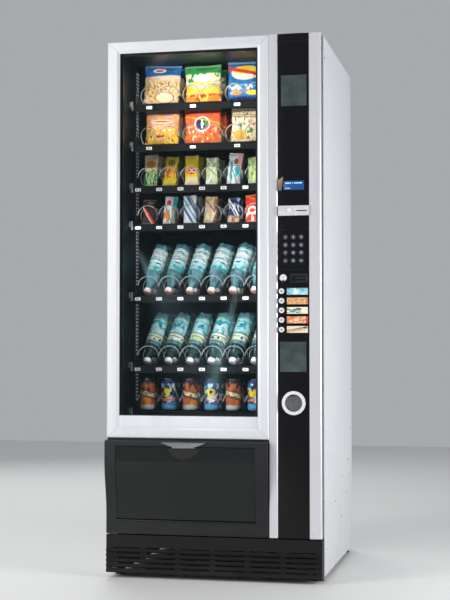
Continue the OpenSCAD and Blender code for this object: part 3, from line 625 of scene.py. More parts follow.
BAG_PRINTS = {
    (0, 0): [("all", (0.78, 0.66, 0.5)), ("bites", BEIGE, 0.0, 0.66, 7.1, 0.0),
             ("bites", BROWN, 0.0, 0.58, 10.2, 0.22),
             ("bites", GOLD, 0.05, 0.6, 8.5, 0.15), ("disc", PINK, -0.75, 0.68, 0.2, 0.05),
             ("disc", CREAM, 0.2, 0.2, 0.52, 0.13), ("ring", RED, 0.2, 0.2, 0.5, 0.12, 0.06),
             ("above", BLUE, 0.73, 0.02, 2.0), ("disc", WHITE, -0.15, 0.86, 0.36, 0.055),
             ("disc", RED, -0.15, 0.86, 0.24, 0.028)],
    (0, 1): [("all", (0.82, 0.6, 0.08)), ("bites", GOLD, 0.1, 0.5, 8.5, 0.05),
             ("above", GREEN, 0.58, 0.03, 2.4),
             ("bites", CREAM, 0.5, 0.78, 5.8, -0.02), ("disc", WHITE, 0.0, 0.66, 0.55, 0.09),
             ("vee", SILVER, 0.42, 0.14, 0.03), ("bites", RED, 0.0, 0.26, 6.8, 0.0),
             ("disc", ORANGE, -0.7, 0.1, 0.35, 0.1), ("disc", ORANGE, 0.65, 0.12, 0.4, 0.1)],
    (0, 2): [("all", BLUE), ("disc", CREAM, 0.0, 0.72, 0.78, 0.18), ("disc", YELLOW, 0.0, 0.78, 0.62, 0.1),
             ("slash", RED, 0.74, 0.1, 0.045), ("disc", WHITE, 0.0, 0.64, 0.5, 0.035),
             ("vee", SKY, 0.42, -0.05, 0.016), ("bites", WHITE, 0.3, 0.42, 8.5, 0.18),
             ("disc", ORANGE, -0.5, 0.24, 0.32, 0.05), ("disc", YELLOW, 0.45, 0.24, 0.42, 0.055),
             ("below", NAVY, 0.14, 0.02, 3.0)],
    (1, 0): [("all", (0.95, 0.42, 0.13)), ("bites", PINK, 0.5, 1.0, 3.7, 0.0),
             ("disc", CREAM, 0.0, 0.66, 0.7, 0.06),
             ("disc", RED, 0.0, 0.66, 0.55, 0.018), ("bites", YELLOW, 0.0, 0.52, 5.8, -0.04),
             ("bites", CREAM, 0.1, 0.55, 7.5, 0.2), ("bites", RED, 0.0, 0.3, 6.8, 0.3)],
    (1, 1): [("all", (0.9, 0.13, 0.06)), ("bites", ORANGE, 0.0, 0.7, 5.8, 0.02),
             ("bites", CREAM, 0.0, 0.5, 7.8, 0.25),
             ("ring", WHITE, 0.0, 0.55, 0.42, 0.2, 0.07), ("disc", NAVY, 0.0, 0.55, 0.34, 0.16),
             ("disc", WHITE, 0.0, 0.55, 0.07, 0.13), ("disc", GREEN, 0.2, 0.56, 0.1, 0.07),
             ("slash", YELLOW, 0.68, 0.12, 0.012)],
    (1, 2): [("all", (0.86, 0.74, 0.52)), ("bites", CREAM, 0.0, 1.0, 6.1, -0.05),
             ("bites", BROWN, 0.0, 0.9, 10.2, 0.3),
             ("slash", DARK, 0.78, 0.02, 0.04), ("slash", CREAM, 0.78, 0.02, 0.014),
             ("bites", PINK, 0.5, 0.7, 5.1, 0.05), ("disc", GOLD, -0.4, 0.25, 0.4, 0.13),
             ("bites", GREEN, 0.3, 0.8, 5.1, 0.36)],
}

BAR_PRINTS = {
    (2, 0): [("all", CREAM), ("below", GREEN, 0.48, 0.03, 3.0), ("bites", LIME, 0.0, 0.5, 3.0, 0.0),
             ("disc", ORANGE, 0.0, 0.68, 0.7, 0.12), ("bites", WHITE, 0.1, 0.45, 5.0, 0.2)],
    (2, 1): [("all", YELLOW), ("disc", DARK, 0.0, 0.78, 0.55, 0.1),
             ("ring", YELLOW, 0.0, 0.78, 0.3, 0.05, 0.25),
             ("bites", BROWN, 0.28, 0.6, 3.0, 0.0), ("bites", ORANGE, 0.2, 0.6, 4.0, 0.1)],
    (2, 2): [("all", YELLOW), ("disc", RED, 0.0, 0.48, 0.85, 0.12),
             ("ring", CREAM, -0.3, 0.48, 0.3, 0.06, 0.2),
             ("ring", CREAM, 0.4, 0.48, 0.3, 0.06, 0.2), ("below", CREAM, 0.25, 0.02, 3.0)],
    (2, 3): [("all", PALE_GREEN), ("bites", WHITE, 0.0, 1.0, 3.0, 0.05), ("bites", GREEN, 0.1, 0.9, 4.0, 0.3),
             ("slash", LIME, 0.5, 0.2, 0.05)],
    (2, 4): [("all", WHITE), ("side", PINK, 0.25), ("bites", TEAL, 0.0, 0.85, 2.4, 0.05),
             ("disc", BROWN, 0.1, 0.72, 0.35, 0.1), ("slash", TEAL, 0.3, 0.5, 0.05)],
    (2, 5): [("all", LIME), ("bites", PALE_GREEN, 0.0, 1.0, 3.4, 0.0), ("bites", GREEN, 0.1, 0.8, 5.0, 0.28)],
    (3, 0): [("all", DARK), ("slash", RED, 0.35, 0.35, 0.1), ("slash", CREAM, 0.3, 0.4, 0.03),
             ("disc", BROWN, 0.2, 0.84, 0.5, 0.07)],
    (3, 1): [("all", WHITE), ("side", TEAL, 0.35), ("disc", RED, -0.3, 0.76, 0.4, 0.1),
             ("bites", ORANGE, 0.05, 0.5, 2.6, 0.05), ("slash", TEAL, 0.25, 0.5, 0.05)],
    (3, 2): [("all", WHITE), ("slash", BLUE, 0.8, 0.4, 0.08), ("slash", SKY, 0.5, 0.4, 0.06),
             ("slash", BLUE, 0.2, 0.4, 0.08), ("slash", NAVY, 0.96, 0.4, 0.04)],
    (3, 3): [("all", BEIGE), ("side", BROWN, 0.5), ("bites", CREAM, 0.05, 0.6, 2.6, 0.0),
             ("slash", BROWN, 0.62, 0.25, 0.05), ("bites", PINK, 0.3, 0.7, 3.4, 0.22)],
    (3, 4): [("all", NAVY), ("slash", WHITE, 0.6, 0.35, 0.05), ("slash", WHITE, 0.42, 0.35, 0.02),
             ("below", BEIGE, 0.24, 0.03, 3.0), ("bites", BROWN, 0.0, 0.26, 4.0, 0.0),
             ("bites", SILVER, 0.45, 0.95, 4.0, 0.25)],
    (3, 5): [("all", RED), ("disc", WHITE, 0.1, 0.42, 0.72, 0.15), ("disc", RED, 0.1, 0.42, 0.5, 0.08),
             ("bites", CREAM, 0.05, 0.35, 3.0, 0.12), ("slash", ORANGE, 0.86, 0.1, 0.03)],
}


def packet(width, height, depth, layers, seed, columns=30, rows=40):
    """A filled film packet: crimped flat at both ends, swelling and creased between them."""
    verts, colors = [], []
    crimp = 0.055
    for face in (-1, 1):
        for i in range(rows + 1):
            v = i / rows
            fill = max(0.0, min(1.0, (v - crimp) / (1 - 2 * crimp)))
            belly = math.sin(math.pi * fill) ** 0.55 if 0 < fill < 1 else 0.0
            pinch = 1 - 0.05 * math.sin(math.pi * v) + 0.012 * math.sin(v * 23 + seed)
            for k in range(columns + 1):
                u = 2 * k / columns - 1
                round_off = max(0.0, 1 - abs(u) ** 2.6) ** 0.6
                crease = noise.noise(Vector((u * 3.1 + seed * 5, v * 4.2, face * 2.0 + seed)))
                radiating = noise.noise(Vector((u * 9 + seed, v * 1.4, face + seed * 2)))
                y = face * depth / 2 * belly * round_off * (1 + 0.22 * crease)
                y += face * 0.0012 * radiating * belly
                if belly < 0.35:
                    y += 0.0006 * math.sin(v * height / 0.0016) + 0.0016 * math.sin(u * 4 + seed)
                sway = 0.0022 * noise.noise(Vector((v * 3, seed, 1.0)))
                verts.append((u * width / 2 * pinch + sway, y + face * 0.0002, v * height))
                shown = print_color(layers, u if face < 0 else -u, v, seed)
                if v < crimp or v > 1 - crimp:
                    shown = tuple(0.75 * c + 0.12 for c in shown[:3]) + (1.0,)
                colors.append(shown)
    return verts, two_sided_faces(columns, rows), colors


def lane_place(row, x, y, lean):
    """A place just above a shelf, leaning back."""
    return Matrix.Translation((x, y, FLOORS[row] + REST_GAP)) @ Matrix.Rotation(-lean, 4, "X")


BAG_SIZES = {(0, 0): (1.0, 1.05), (0, 1): (0.98, 1.0), (0, 2): (1.0, 1.055), (1, 0): (0.98, 1.03),
             (1, 1): (1.05, 1.04), (1, 2): (0.96, 0.99)}


def make_bags():
    """Rows 1 and 2: three bags side by side, each pushed by a pair of spirals."""
    sizes = {0: (0.138, 0.143, 0.044), 1: (0.128, 0.13, 0.04)}
    for row, (width, height, depth) in sizes.items():
        for lane in range(3):
            x = (column_x(2 * lane) + column_x(2 * lane + 1)) / 2
            wide, tall = BAG_SIZES.get((row, lane), (1.0, 1.0))
            lane_build = Build()
            for k in range(5):
                seed = row * 3 + lane + k * 0.37
                grid = (60, 76) if k == 0 else (24, 30)
                bag = packet(width * wide, height * tall, depth, BAG_PRINTS[row, lane], seed, *grid)
                tilt = math.radians(5 + 2 * math.sin(seed * 5))
                sway = math.radians(2.5 * math.sin(seed * 9 + 1))
                place = lane_place(row, x + 0.003 * math.sin(seed * 3), SPIRAL_Y + 0.050 + k * WIDE, tilt)
                lane_build.add(bag[0], bag[1], 0, bag[2], place @ Matrix.Rotation(sway, 4, "Y"))
            lane_build.finish(f"bag_lane_{row + 1}_{lane + 1}", "cabinet", ["film"])


BAR_SHIFTS = {(2, 0): 0.012, (2, 2): 0.005, (3, 3): -0.008, (3, 5): -0.010}
BAR_SIZES = {2: ((0.050, 0.122), (0.048, 0.112), (0.050, 0.114), (0.044, 0.104), (0.050, 0.118),
                 (0.046, 0.102)),
             3: ((0.048, 0.094), (0.046, 0.104), (0.047, 0.106), (0.044, 0.100), (0.041, 0.094),
                 (0.046, 0.104))}


def make_bars():
    """Rows 3 and 4: a lane of wrapped bars in each spiral, leaning back between its turns."""
    lean = math.atan(FINE / 2 / (2 * SPIRAL_R))
    for (row, lane), layers in BAR_PRINTS.items():
        moving = (row, lane) == BAR_LANE
        width, height = BAR_SIZES[row][lane]
        start = SPIRAL_Y + FINE / 2 - math.tan(lean) * SPIRAL_LIFT
        lane_build = Build()
        for k in range(12 if moving else 6):
            seed = row * 6 + lane + k * 0.61
            bar = packet(width, height, 0.0125, layers, seed, *((28, 56) if k == 0 else (14, 28)))
            sway = 0.0 if moving else math.radians(4 * math.sin(seed * 4))
            place = lane_place(row, column_x(lane) + BAR_SHIFTS.get((row, lane), 0.0), start + k * FINE, lean)
            lane_build.add(bar[0], bar[1], 0, bar[2], place @ Matrix.Rotation(sway, 4, "Y"))
        body = "bar_stock" if moving else "cabinet"
        lane_build.finish(f"bar_lane_{row + 1}_{lane + 1}", body, ["film"],
                          ["bar_stock"] if moving else ())


# ---------------------------------------------------------------- bottles and cans

AQUA = (0.34, 0.66, 0.68)
MIST = (0.55, 0.78, 0.8)
BOTTLE_LABELS = {
    4: [("all", MIST), ("bites", AQUA, 0.0, 1.0, 3.6, -0.05), ("bites", WHITE, 0.0, 1.0, 4.6, 0.16),
        ("bites", TEAL, 0.0, 1.0, 5.2, 0.3), ("slash", WHITE, 0.9, 0.0, 0.02),
        ("slash", TEAL, 0.84, 0.0, 0.012),
        ("slash", PINK, 0.74, 0.0, 0.012), ("slash", WHITE, 0.68, 0.0, 0.03),
        ("slash", PINK, 0.58, 0.0, 0.009),
        ("slash", TEAL, 0.5, 0.0, 0.01), ("slash", WHITE, 0.42, 0.0, 0.03),
        ("disc", DARK, 0.05, 0.33, 0.2, 0.02),
        ("below", AQUA, 0.2, 0.02, 3.0), ("bites", TEAL, 0.0, 0.2, 4.0, 0.0)],
    5: [("all", AQUA), ("bites", TEAL, 0.25, 1.0, 3.0, -0.02), ("bites", MIST, 0.3, 0.95, 4.2, 0.14),
        ("slash", MIST, 0.9, 0.0, 0.02), ("slash", TEAL, 0.8, 0.0, 0.014),
        ("disc", BLUE, 0.0, 0.66, 0.1, 0.05),
        ("slash", MIST, 0.5, 0.0, 0.012), ("below", PALE_GREEN, 0.27, 0.0, 1.0),
        ("bites", WHITE, 0.0, 0.26, 4.6, 0.0),
        ("slash", DARK, 0.3, 0.0, 0.014), ("slash", DARK, 0.16, 0.0, 0.012),
        ("bites", DARK, 0.02, 0.14, 6.0, 0.2)],
}
BOTTLE_TILT = math.radians(11.5)


def bottle(row, seed, body_r):
    """A half-litre bottle, cap down: neck, ribbed body with a printed sleeve, and a petalled base."""
    low = -0.032

    def ribs(a, z):
        rib = 0.0007 * math.sin((z - 0.03) / 0.0105 * 2 * math.pi) if 0.04 < z < 0.06 or 0.128 < z < 0.146 else 0
        petals = 0.0022 * math.cos(a * 5) * max(0.0, (z - 0.146) / 0.012)
        return rib + petals

    neck_profile = [(0.0112, low + 0.017), (0.0128, low + 0.019), (0.0128, low + 0.0215),
                    (0.0116, low + 0.023),
                    (0.0122, low + 0.03), (0.0165, low + 0.042), (0.0218, low + 0.056), (0.0252, low + 0.068)]
    body_profile = [neck_profile[-1]] + [(body_r - 0.0004, 0.040 + 0.0035 * k) for k in range(33)]
    body_profile += [(body_r - 0.001, 0.158), (body_r - 0.0027, 0.1625), (body_r - 0.0065, 0.1652),
                     (0.012, 0.1635), (0.004, 0.161)]
    neck, body = lathe(neck_profile, 40), lathe(body_profile, 40, None, ribs)
    sleeve_z = (0.052, 0.142) if row == 4 else (0.050, 0.142)

    def sleeve_paint(a, z):
        u = ((a / math.pi + 0.5 + 1) % 2) - 1
        return print_color(BOTTLE_LABELS[row], u * 1.6, (z - sleeve_z[0]) / (sleeve_z[1] - sleeve_z[0]), seed)

    outer = [(body_r + 0.0001, sleeve_z[0] + (sleeve_z[1] - sleeve_z[0]) * k / 44) for k in range(45)]
    sleeve = lathe([(body_r - 0.001, sleeve_z[0])] + outer + [(body_r - 0.001, sleeve_z[1])], 48,
                   sleeve_paint)
    rim = PINK if row == 4 else SILVER

    def cap_paint(a, z):
        share = soft(z - low - 0.006, 0.004)
        return tuple(WHITE[i] * (1 - share) + rim[i] * share for i in range(3)) + (1.0,)

    def knurl(a, z):
        return 0.0003 * math.cos(a * 30) if low + 0.003 < z < low + 0.0145 else 0.0

    cap = lathe([(0.009, low), (0.0128, low + 0.0004), (0.0136, low + 0.0018), (0.0137, low + 0.006),
                 (0.0137, low + 0.012), (0.0137, low + 0.0148), (0.0132, low + 0.0156),
                 (0.0128, low + 0.0168),
                 (0.010, low + 0.0168)], 60, cap_paint, knurl)
    return body, sleeve, cap, neck


def make_bottles():
    """Rows 5 and 6: bottles lying neck down in each spiral, leaning to one side."""
    lean = math.atan(WIDE / 2 / (2 * SPIRAL_R))
    for row in (4, 5):
        for lane in range(COLUMNS):
            moving = (row, lane) == BOTTLE_LANE
            lane_build = Build()
            for k in range(6 if moving else 4):
                seed = row + lane * 0.31 + k * 0.7
                place = Matrix.Translation((column_x(lane), SPIRAL_Y + WIDE / 2 + k * WIDE,
                                            FLOORS[row] + SPIRAL_LIFT))
                place = place @ Matrix.Rotation(BOTTLE_TILT, 4, "Y") @ Matrix.Rotation(-lean, 4, "X")
                place = place @ Matrix.Rotation(0.5 * math.sin(seed * 8), 4, "Z")
                # on row 6 the neck takes the darker copy of the bottle material, painted shade inside the spiral
                for part, mat in zip(bottle(row, seed, 0.0268 if moving else 0.0285),
                                     (0, 1, 2, 3 if row == 5 else 0)):
                    lane_build.add(part[0], part[1], mat, part[2], place)
            lane_build.finish(f"bottle_lane_{row + 1}_{lane + 1}", "bottle_stock" if moving else "cabinet",
                              ["bottle", "sleeve", "cap", "bottle_painted_shade_neck"],
                              ["bottle_stock"] if moving else ())


CAN_PRINTS = (
    [("all", (0.5, 0.12, 0.03)), ("bites", ORANGE, 0.1, 0.5, 2.6, 0.0), ("bites", DARK, 0.5, 1.0, 3.6, 0.15),
     ("slash", DARK, 0.56, 0.14, 0.13), ("slash", CREAM, 0.57, 0.14, 0.07),
     ("bites", BROWN, 0.45, 0.68, 7.0, 0.1),
     ("below", SILVER, 0.13, 0.02, 3.0), ("bites", PALE_GREEN, 0.0, 0.13, 5.0, 0.1),
     ("above", DARK, 0.94, 0.0, 1.0)],
    [("all", NAVY), ("bites", BLUE, 0.0, 1.0, 2.6, 0.0), ("bites", MIST, 0.35, 0.95, 3.6, 0.1),
     ("disc", YELLOW, -0.15, 0.6, 0.32, 0.15), ("bites", DARK, 0.45, 0.9, 5.0, 0.22),
     ("disc", ORANGE, 0.0, 0.34, 0.5, 0.05), ("bites", WHITE, 0.2, 0.4, 5.0, 0.2),
     ("below", SKY, 0.2, 0.03, 4.0), ("slash", NAVY, 0.2, 0.1, 0.02), ("above", NAVY, 0.94, 0.0, 1.0)],
)


def can(kind, seed):
    """A standing drinks can: printed wall, foot, top and tab."""
    r, h = 0.0265, 0.115

    def paint(a, z):
        u = ((a / math.pi + 0.5 + 1) % 2) - 1
        return print_color(CAN_PRINTS[kind], u * 1.5, (z - 0.008) / (h - 0.02), seed)

    wall = lathe([(r - 0.004, 0.004), (r - 0.0012, 0.007)] +
                 [(r, 0.010 + (h - 0.024) * k / 30) for k in range(31)] +
                 [(r - 0.0014, h - 0.010), (r - 0.0034, h - 0.006)], 48, paint)
    foot = lathe([(r - 0.009, 0.0035), (r - 0.0075, 0.0), (r - 0.0055, 0.0), (r - 0.004, 0.004)], 40)
    top = lathe([(r - 0.0034, h - 0.006), (r - 0.003, h - 0.003), (r - 0.0024, h - 0.0008), (r - 0.0034, h),
                 (r - 0.0046, h - 0.0012), (r - 0.0052, h - 0.0045), (r - 0.0065, h - 0.005),
                 (0.002, h - 0.0045)], 40)
    tab = bevelled_box((-0.006, -0.004, h - 0.0043), (0.006, 0.015, h - 0.0028), 0.0012)
    return wall, foot, top, tab


def make_cans():
    """Row 7: cans standing in each spiral."""
    row = 6
    for lane in range(COLUMNS):
        lane_build = Build()
        for k in range(5):
            seed = lane * 0.43 + k * 0.9
            spin = 0.35 * math.sin(seed * 6)
            place = Matrix.Translation((column_x(lane), SPIRAL_Y + 0.012 + k * WIDE, FLOORS[row] + REST_GAP))
            place = place @ Matrix.Rotation(spin, 4, "Z")
            wall, foot, top, tab = can(lane % 2, seed)
            lane_build.add(wall[0], wall[1], 0, wall[2], place)
            for part in (foot, top, tab):
                lane_build.add(part[0], part[1], 1, None, place)
        lane_build.finish(f"can_lane_{lane + 1}", "cabinet", ["can", "can_end"])


# ---------------------------------------------------------------- shelf fittings


def make_price_tags():
    """White tags on the shelf fronts, with a few dark blocks where a code would be."""
    tags = Build()
    width, height, depth = 0.0205, 0.0104, 0.001
    ink = (0.03, 0.03, 0.035, 1)
    for row, floor in enumerate(FLOORS[:6]):
        places = [column_x(k) - 0.0276 for k in range(COLUMNS)]
        if row < 2:
            places = [(column_x(2 * k) + column_x(2 * k + 1)) / 2 - 0.026 + 0.004 * k for k in range(3)]
        for n, x in enumerate(places):
            z = floor - 0.013
            lo = (x - width / 2, TRAY_FRONT - 0.0002 - depth, z - height / 2)
            tags.add(*bevelled_box(lo, (x + width / 2, TRAY_FRONT - 0.0002, z + height / 2), 0.0006, 1))
            for m in range(3):
                left = x - 0.0068 + m * 0.0052
                tall = 0.0052 if (m + n + row) % 2 else 0.0058
                block = bevelled_box((left, lo[1] - 0.0003, z - tall / 2),
                                     (left + 0.0032, lo[1], z + tall / 2), 0.0001, 1)
                tags.add(block[0], block[1], 0, [ink] * len(block[0]))
                if (m + row) % 2:
                    hole = bevelled_box((left + 0.001, lo[1] - 0.0005, z - 0.0012),
                                        (left + 0.0022, lo[1] - 0.0003, z + 0.0012), 0.0001, 1)
                    tags.add(hole[0], hole[1])
    tags.finish("price_tags", "cabinet", ["tag"], smooth=False)


def make_shelf_fronts():
    """A rounded price rail along each shelf front."""
    rails = Build()
    for floor in FLOORS:
        for low, high, out in ((floor - 0.0265, floor - 0.0238, 0.0022),
                               (floor - 0.0025, floor + 0.0006, 0.0022)):
            rails.add(*bevelled_box((TRAY_X[0], TRAY_FRONT - out, low),
                                    (TRAY_X[1], TRAY_FRONT + 0.0005, high), 0.0011))
    rails.finish("shelf_price_rails", "cabinet", ["tray"])


def make_rail_studs():
    """Pressed rims round the holes of the perforated rail at the left, given a faint glow as a painted
    highlight, and the shelf clips on it.
    """
    studs = Build()
    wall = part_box("shelf_rails")[0].x + 0.0031
    z = FLOORS[-1] - 0.01
    dot = lathe([(0.0008, 0.0), (0.0034, 0.0), (0.0036, 0.0005), (0.003, 0.001), (0.0008, 0.0011)], 12)
    while z < FLOORS[0] + 0.13:
        for y in (-0.1175, -0.0985):
            place = Matrix.Translation((wall, y, z)) @ Matrix.Rotation(math.pi / 2, 4, "Y")
            studs.add(dot[0], dot[1], 0, None, place)
        z += 0.0125
    studs.finish("rail_studs", "cabinet", ["stud_painted_glow"])
    clips = Build()
    for row, floor in enumerate(FLOORS):
        y = TRAY_FRONT + 0.001
        for x, height, width in ((TRAY_X[0] - 0.011, 0.032, 0.006), (TRAY_X[0] - 0.019, 0.020, 0.0035)):
            top, low = floor + 0.012, floor + 0.012 - height
            verts = [(x - width * 0.22, y, top), (x + width * 0.22, y, top), (x + width / 2, y, low + 0.006),
                     (x + width / 2, y, low), (x - width / 2, y, low), (x - width / 2, y, low + 0.006)]
            verts += [(a, y + 0.012, c) for a, _, c in verts]
            faces = [[5, 4, 3, 2, 1, 0], [6, 7, 8, 9, 10, 11]]
            faces += [[k, (k + 1) % 6, (k + 1) % 6 + 6, k + 6] for k in range(6)]
            clips.add(verts, faces)
        if row < 2:
            knob = lathe([(0.002, 0.0), (0.0048, 0.0), (0.0056, 0.0015), (0.0056, 0.004), (0.003, 0.005)], 24)
            place = Matrix.Translation((TRAY_X[0] - 0.012, y, floor + 0.002)) @ Matrix.Rotation(math.pi / 2,
                                                                                                4, "X")
            clips.add(knob[0], knob[1], 0, None, place)
    clips.finish("shelf_clips", "cabinet", ["clip"], angle=30)


# ---------------------------------------------------------------- control column


def plate_grid(build, x, y, z, mat, layers, seed, columns=44, rows=16):
    """A thin printed plate facing the customer, painted from print layers."""
    verts, colors = [], []
    for side in (0, 1):
        for i in range(rows + 1):
            for k in range(columns + 1):
                u, v = k / columns, i / rows
                edge = 0.0003 if (side == 0 and (k in (0, columns) or i in (0, rows))) else 0.0
                verts.append((x[0] + (x[1] - x[0]) * u, y[side] + edge, z[0] + (z[1] - z[0]) * v))
                colors.append(print_color(layers, 2 * u - 1, v, seed))
    build.add(verts, two_sided_faces(columns, rows), mat, colors)


LABEL_PRINTS = (
    [("all", MIST), ("bites", SKY, 0.0, 1.0, 4.2, 0.02), ("bites", TEAL, 0.0, 1.0, 6.0, 0.2),
     ("disc", WHITE, -0.1, 0.45, 0.3, 0.4), ("bites", AQUA, 0.1, 0.8, 7.0, 0.1)],
    [("all", (0.75, 0.36, 0.14)), ("bites", CREAM, 0.0, 1.0, 6.0, 0.02),
     ("bites", BROWN, 0.1, 0.9, 7.4, 0.12),
     ("bites", ORANGE, 0.0, 1.0, 5.0, 0.1), ("side", (0.6, 0.22, 0.06), 0.8)],
    [("all", (0.86, 0.84, 0.62)), ("bites", (0.05, 0.16, 0.1), 0.1, 0.8, 5.4, 0.06),
     ("disc", DARK, 0.1, 0.7, 0.3, 0.14),
     ("disc", TEAL, -0.4, 0.4, 0.25, 0.2), ("side", (0.86, 0.84, 0.62), 0.45)],
    [("all", CREAM), ("bites", (0.72, 0.14, 0.05), 0.0, 1.0, 6.0, -0.08),
     ("bites", ORANGE, 0.1, 0.9, 7.6, 0.12),
     ("side", RED, 0.8)],
    [("all", (0.86, 0.8, 0.62)), ("slash", (0.5, 0.27, 0.14), 0.5, -0.3, 0.2),
     ("bites", (0.7, 0.5, 0.34), 0.1, 0.9, 7.0, 0.1),
     ("slash", DARK, 0.66, -0.3, 0.03), ("disc", DARK, 0.72, 0.8, 0.16, 0.14)],
)


def make_labels():
    """Five backlit product cards in the fascia's windows."""
    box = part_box("window_plates")
    x = (RIGHT - 0.1158, RIGHT - 0.0458)
    for k, layers in enumerate(LABEL_PRINTS):
        z = 0.9667 - k * 0.0316
        card = Build()
        plate_grid(card, x, (box[0].y - 0.0006, box[0].y + 0.0002), (z - 0.0109, z + 0.0109), 0, layers,
                   2.3 + k)
        card.finish(f"product_card_{k + 1}", "door", ["label_card"], smooth=False)


def make_display():
    """The lit screen in its bezel: blank light bars stand for the price line. A wedge at its left carries a
    painted highlight.
    """
    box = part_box("price_display")
    y = box[0].y + 0.0015
    screen = Build()
    x = (box[0].x + 0.0065, box[1].x - 0.0065)
    z = (box[0].z + 0.0055, box[1].z - 0.0195)
    screen.add(*bevelled_box((x[0], y - 0.0012, z[0]), (x[1], y, z[1]), 0.0005))
    screen.finish("display_screen", "door", ["screen"])
    marks = Build()
    row_z = z[1] - 0.0075
    for k in range(15):
        if k in (5, 7):
            continue
        left = x[0] + 0.006 + k * 0.0038
        tall = 0.0042 if k % 3 else 0.0034
        marks.add(*bevelled_box((left, y - 0.0016, row_z - tall / 2),
                                (left + 0.0028, y - 0.0011, row_z + tall / 2), 0.0002, 1))
    for k in range(4):
        left = x[0] + 0.006 + k * 0.0042
        marks.add(*bevelled_box((left, y - 0.0016, z[0] + 0.004), (left + 0.003, y - 0.0011, z[0] + 0.0066),
                                0.0002, 1))
    marks.finish("display_marks", "door", ["screen_mark"], smooth=False)
    # wedge left of the screen, grey at the bottom and orange at the top: a painted highlight
    glint_wedge = Build()
    left, right = RIGHT - 0.1455, box[0].x + 0.0035
    low, high = box[0].z + 0.004, box[1].z - 0.003
    front, rear = box[0].y - 0.0006, box[0].y + 0.003
    outline = [(left, low), (right - 0.0045, low), (right + 0.002, high - 0.002), (left, high - 0.014)]
    verts = [(a, front, b) for a, b in outline] + [(a, rear, b) for a, b in outline]
    glint_tones = [(0.12, 0.12, 0.14, 1), (0.16, 0.16, 0.17, 1), (0.42, 0.24, 0.1, 1), (0.5, 0.32, 0.16, 1)]
    glint_wedge.add(verts, prism_faces(4), 0, glint_tones * 2)
    glint_wedge.finish("display_glint_wedge", "door", ["glint_wedge"], smooth=False)


KEY_MARKS = ("1", "2", "3", "4", "5", "6", "7", "8", "9", "dot", "0", "bar")


def make_key_marks():
    """A raised digit on each key; the two outer keys of the last row carry a dot and a bar."""
    for k, mark in enumerate(KEY_MARKS):
        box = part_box(f"key_{k + 1}")
        middle = centre(box)
        front = box[0].y
        if len(mark) == 1:
            text = bpy.data.curves.new(f"digit_{k + 1}", "FONT")
            text.body = mark
            text.size = 0.0105
            text.extrude = 0.0002
            text.align_x = "CENTER"
            text.align_y = "CENTER"
            made = link_new(f"digit_{k + 1}", text)
            mesh = bpy.data.meshes.new_from_object(made.evaluated_get(bpy.context.evaluated_depsgraph_get()))
            bpy.data.objects.remove(made)
            turn = Matrix.Translation((middle.x, front - 0.0001, middle.z)) @ Matrix.Rotation(math.pi / 2, 4,
                                                                                              "X")
            mesh.transform(turn)
            mesh.materials.clear()
            mesh.materials.append(MATS["digit"])
            made = link_new(f"key_digit_{k + 1}", mesh)
            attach(made, f"key_{k + 1}")
        else:
            sign = Build()
            half = (0.0014, 0.0014) if mark == "dot" else (0.0034, 0.0009)
            sign.add(*bevelled_box((middle.x - half[0], front - 0.0003, middle.z - half[1]),
                                   (middle.x + half[0], front, middle.z + half[1]), 0.0008))
            sign.finish(f"key_sign_{k + 1}", f"key_{k + 1}", ["digit"])


def ring_plate(center, inner, outer, front, back, around=64):
    """A rounded ring facing the customer, about an axis along Y."""
    w = outer - inner
    profile = [(inner, back), (inner, front + w * 0.3), (inner + w * 0.18, front + w * 0.08),
               (inner + w * 0.5, front),
               (outer - w * 0.18, front + w * 0.08), (outer, front + w * 0.3), (outer, back)]
    verts, faces = [], []
    for r, y in profile:
        for k in range(around):
            a = 2 * math.pi * k / around
            verts.append((center[0] + r * math.cos(a), y, center[1] + r * math.sin(a)))
    count = len(profile)
    for i in range(count):
        for k in range(around):
            n = (k + 1) % around
            j = (i + 1) % count
            faces.append([i * around + k, i * around + n, j * around + n, j * around + k])
    return verts, faces


def flat_disc(build, center, r, y, around=32):
    """A thin raised disc facing the customer."""
    ring = [(center[0] + r * math.cos(2 * math.pi * k / around),
             center[1] + r * math.sin(2 * math.pi * k / around))
            for k in range(around)]
    verts = [(a, y[0], b) for a, b in ring] + [(a, y[1], b) for a, b in ring]
    build.add(verts, prism_faces(around))


def make_button_glyphs():
    """A small dark mark on each selection button, and the keyhole in the lock."""
    for k in range(5):
        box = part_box(f"select_button_{k + 1}")
        middle = centre(box)
        glyph = Build()
        glyph.add(*bevelled_box((middle.x - 0.0022, box[0].y - 0.0003, middle.z - 0.0024),
                                (middle.x + 0.0022, box[0].y + 0.0002, middle.z + 0.0024), 0.0005))
        glyph.finish(f"button_glyph_{k + 1}", f"select_button_{k + 1}", ["black"],
                     smooth=False)
    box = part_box("lock_barrel")
    middle = centre(box)
    hole = Build()
    flat_disc(hole, (middle.x, middle.z), 0.0042, (box[0].y - 0.0003, box[0].y + 0.0002))
    hole.add(*bevelled_box((middle.x - 0.0012, box[0].y - 0.0003, middle.z - 0.0072),
                           (middle.x + 0.0012, box[0].y + 0.0002, middle.z), 0.0004))
    hole.finish("keyhole", "lock_barrel", ["black"], smooth=False)


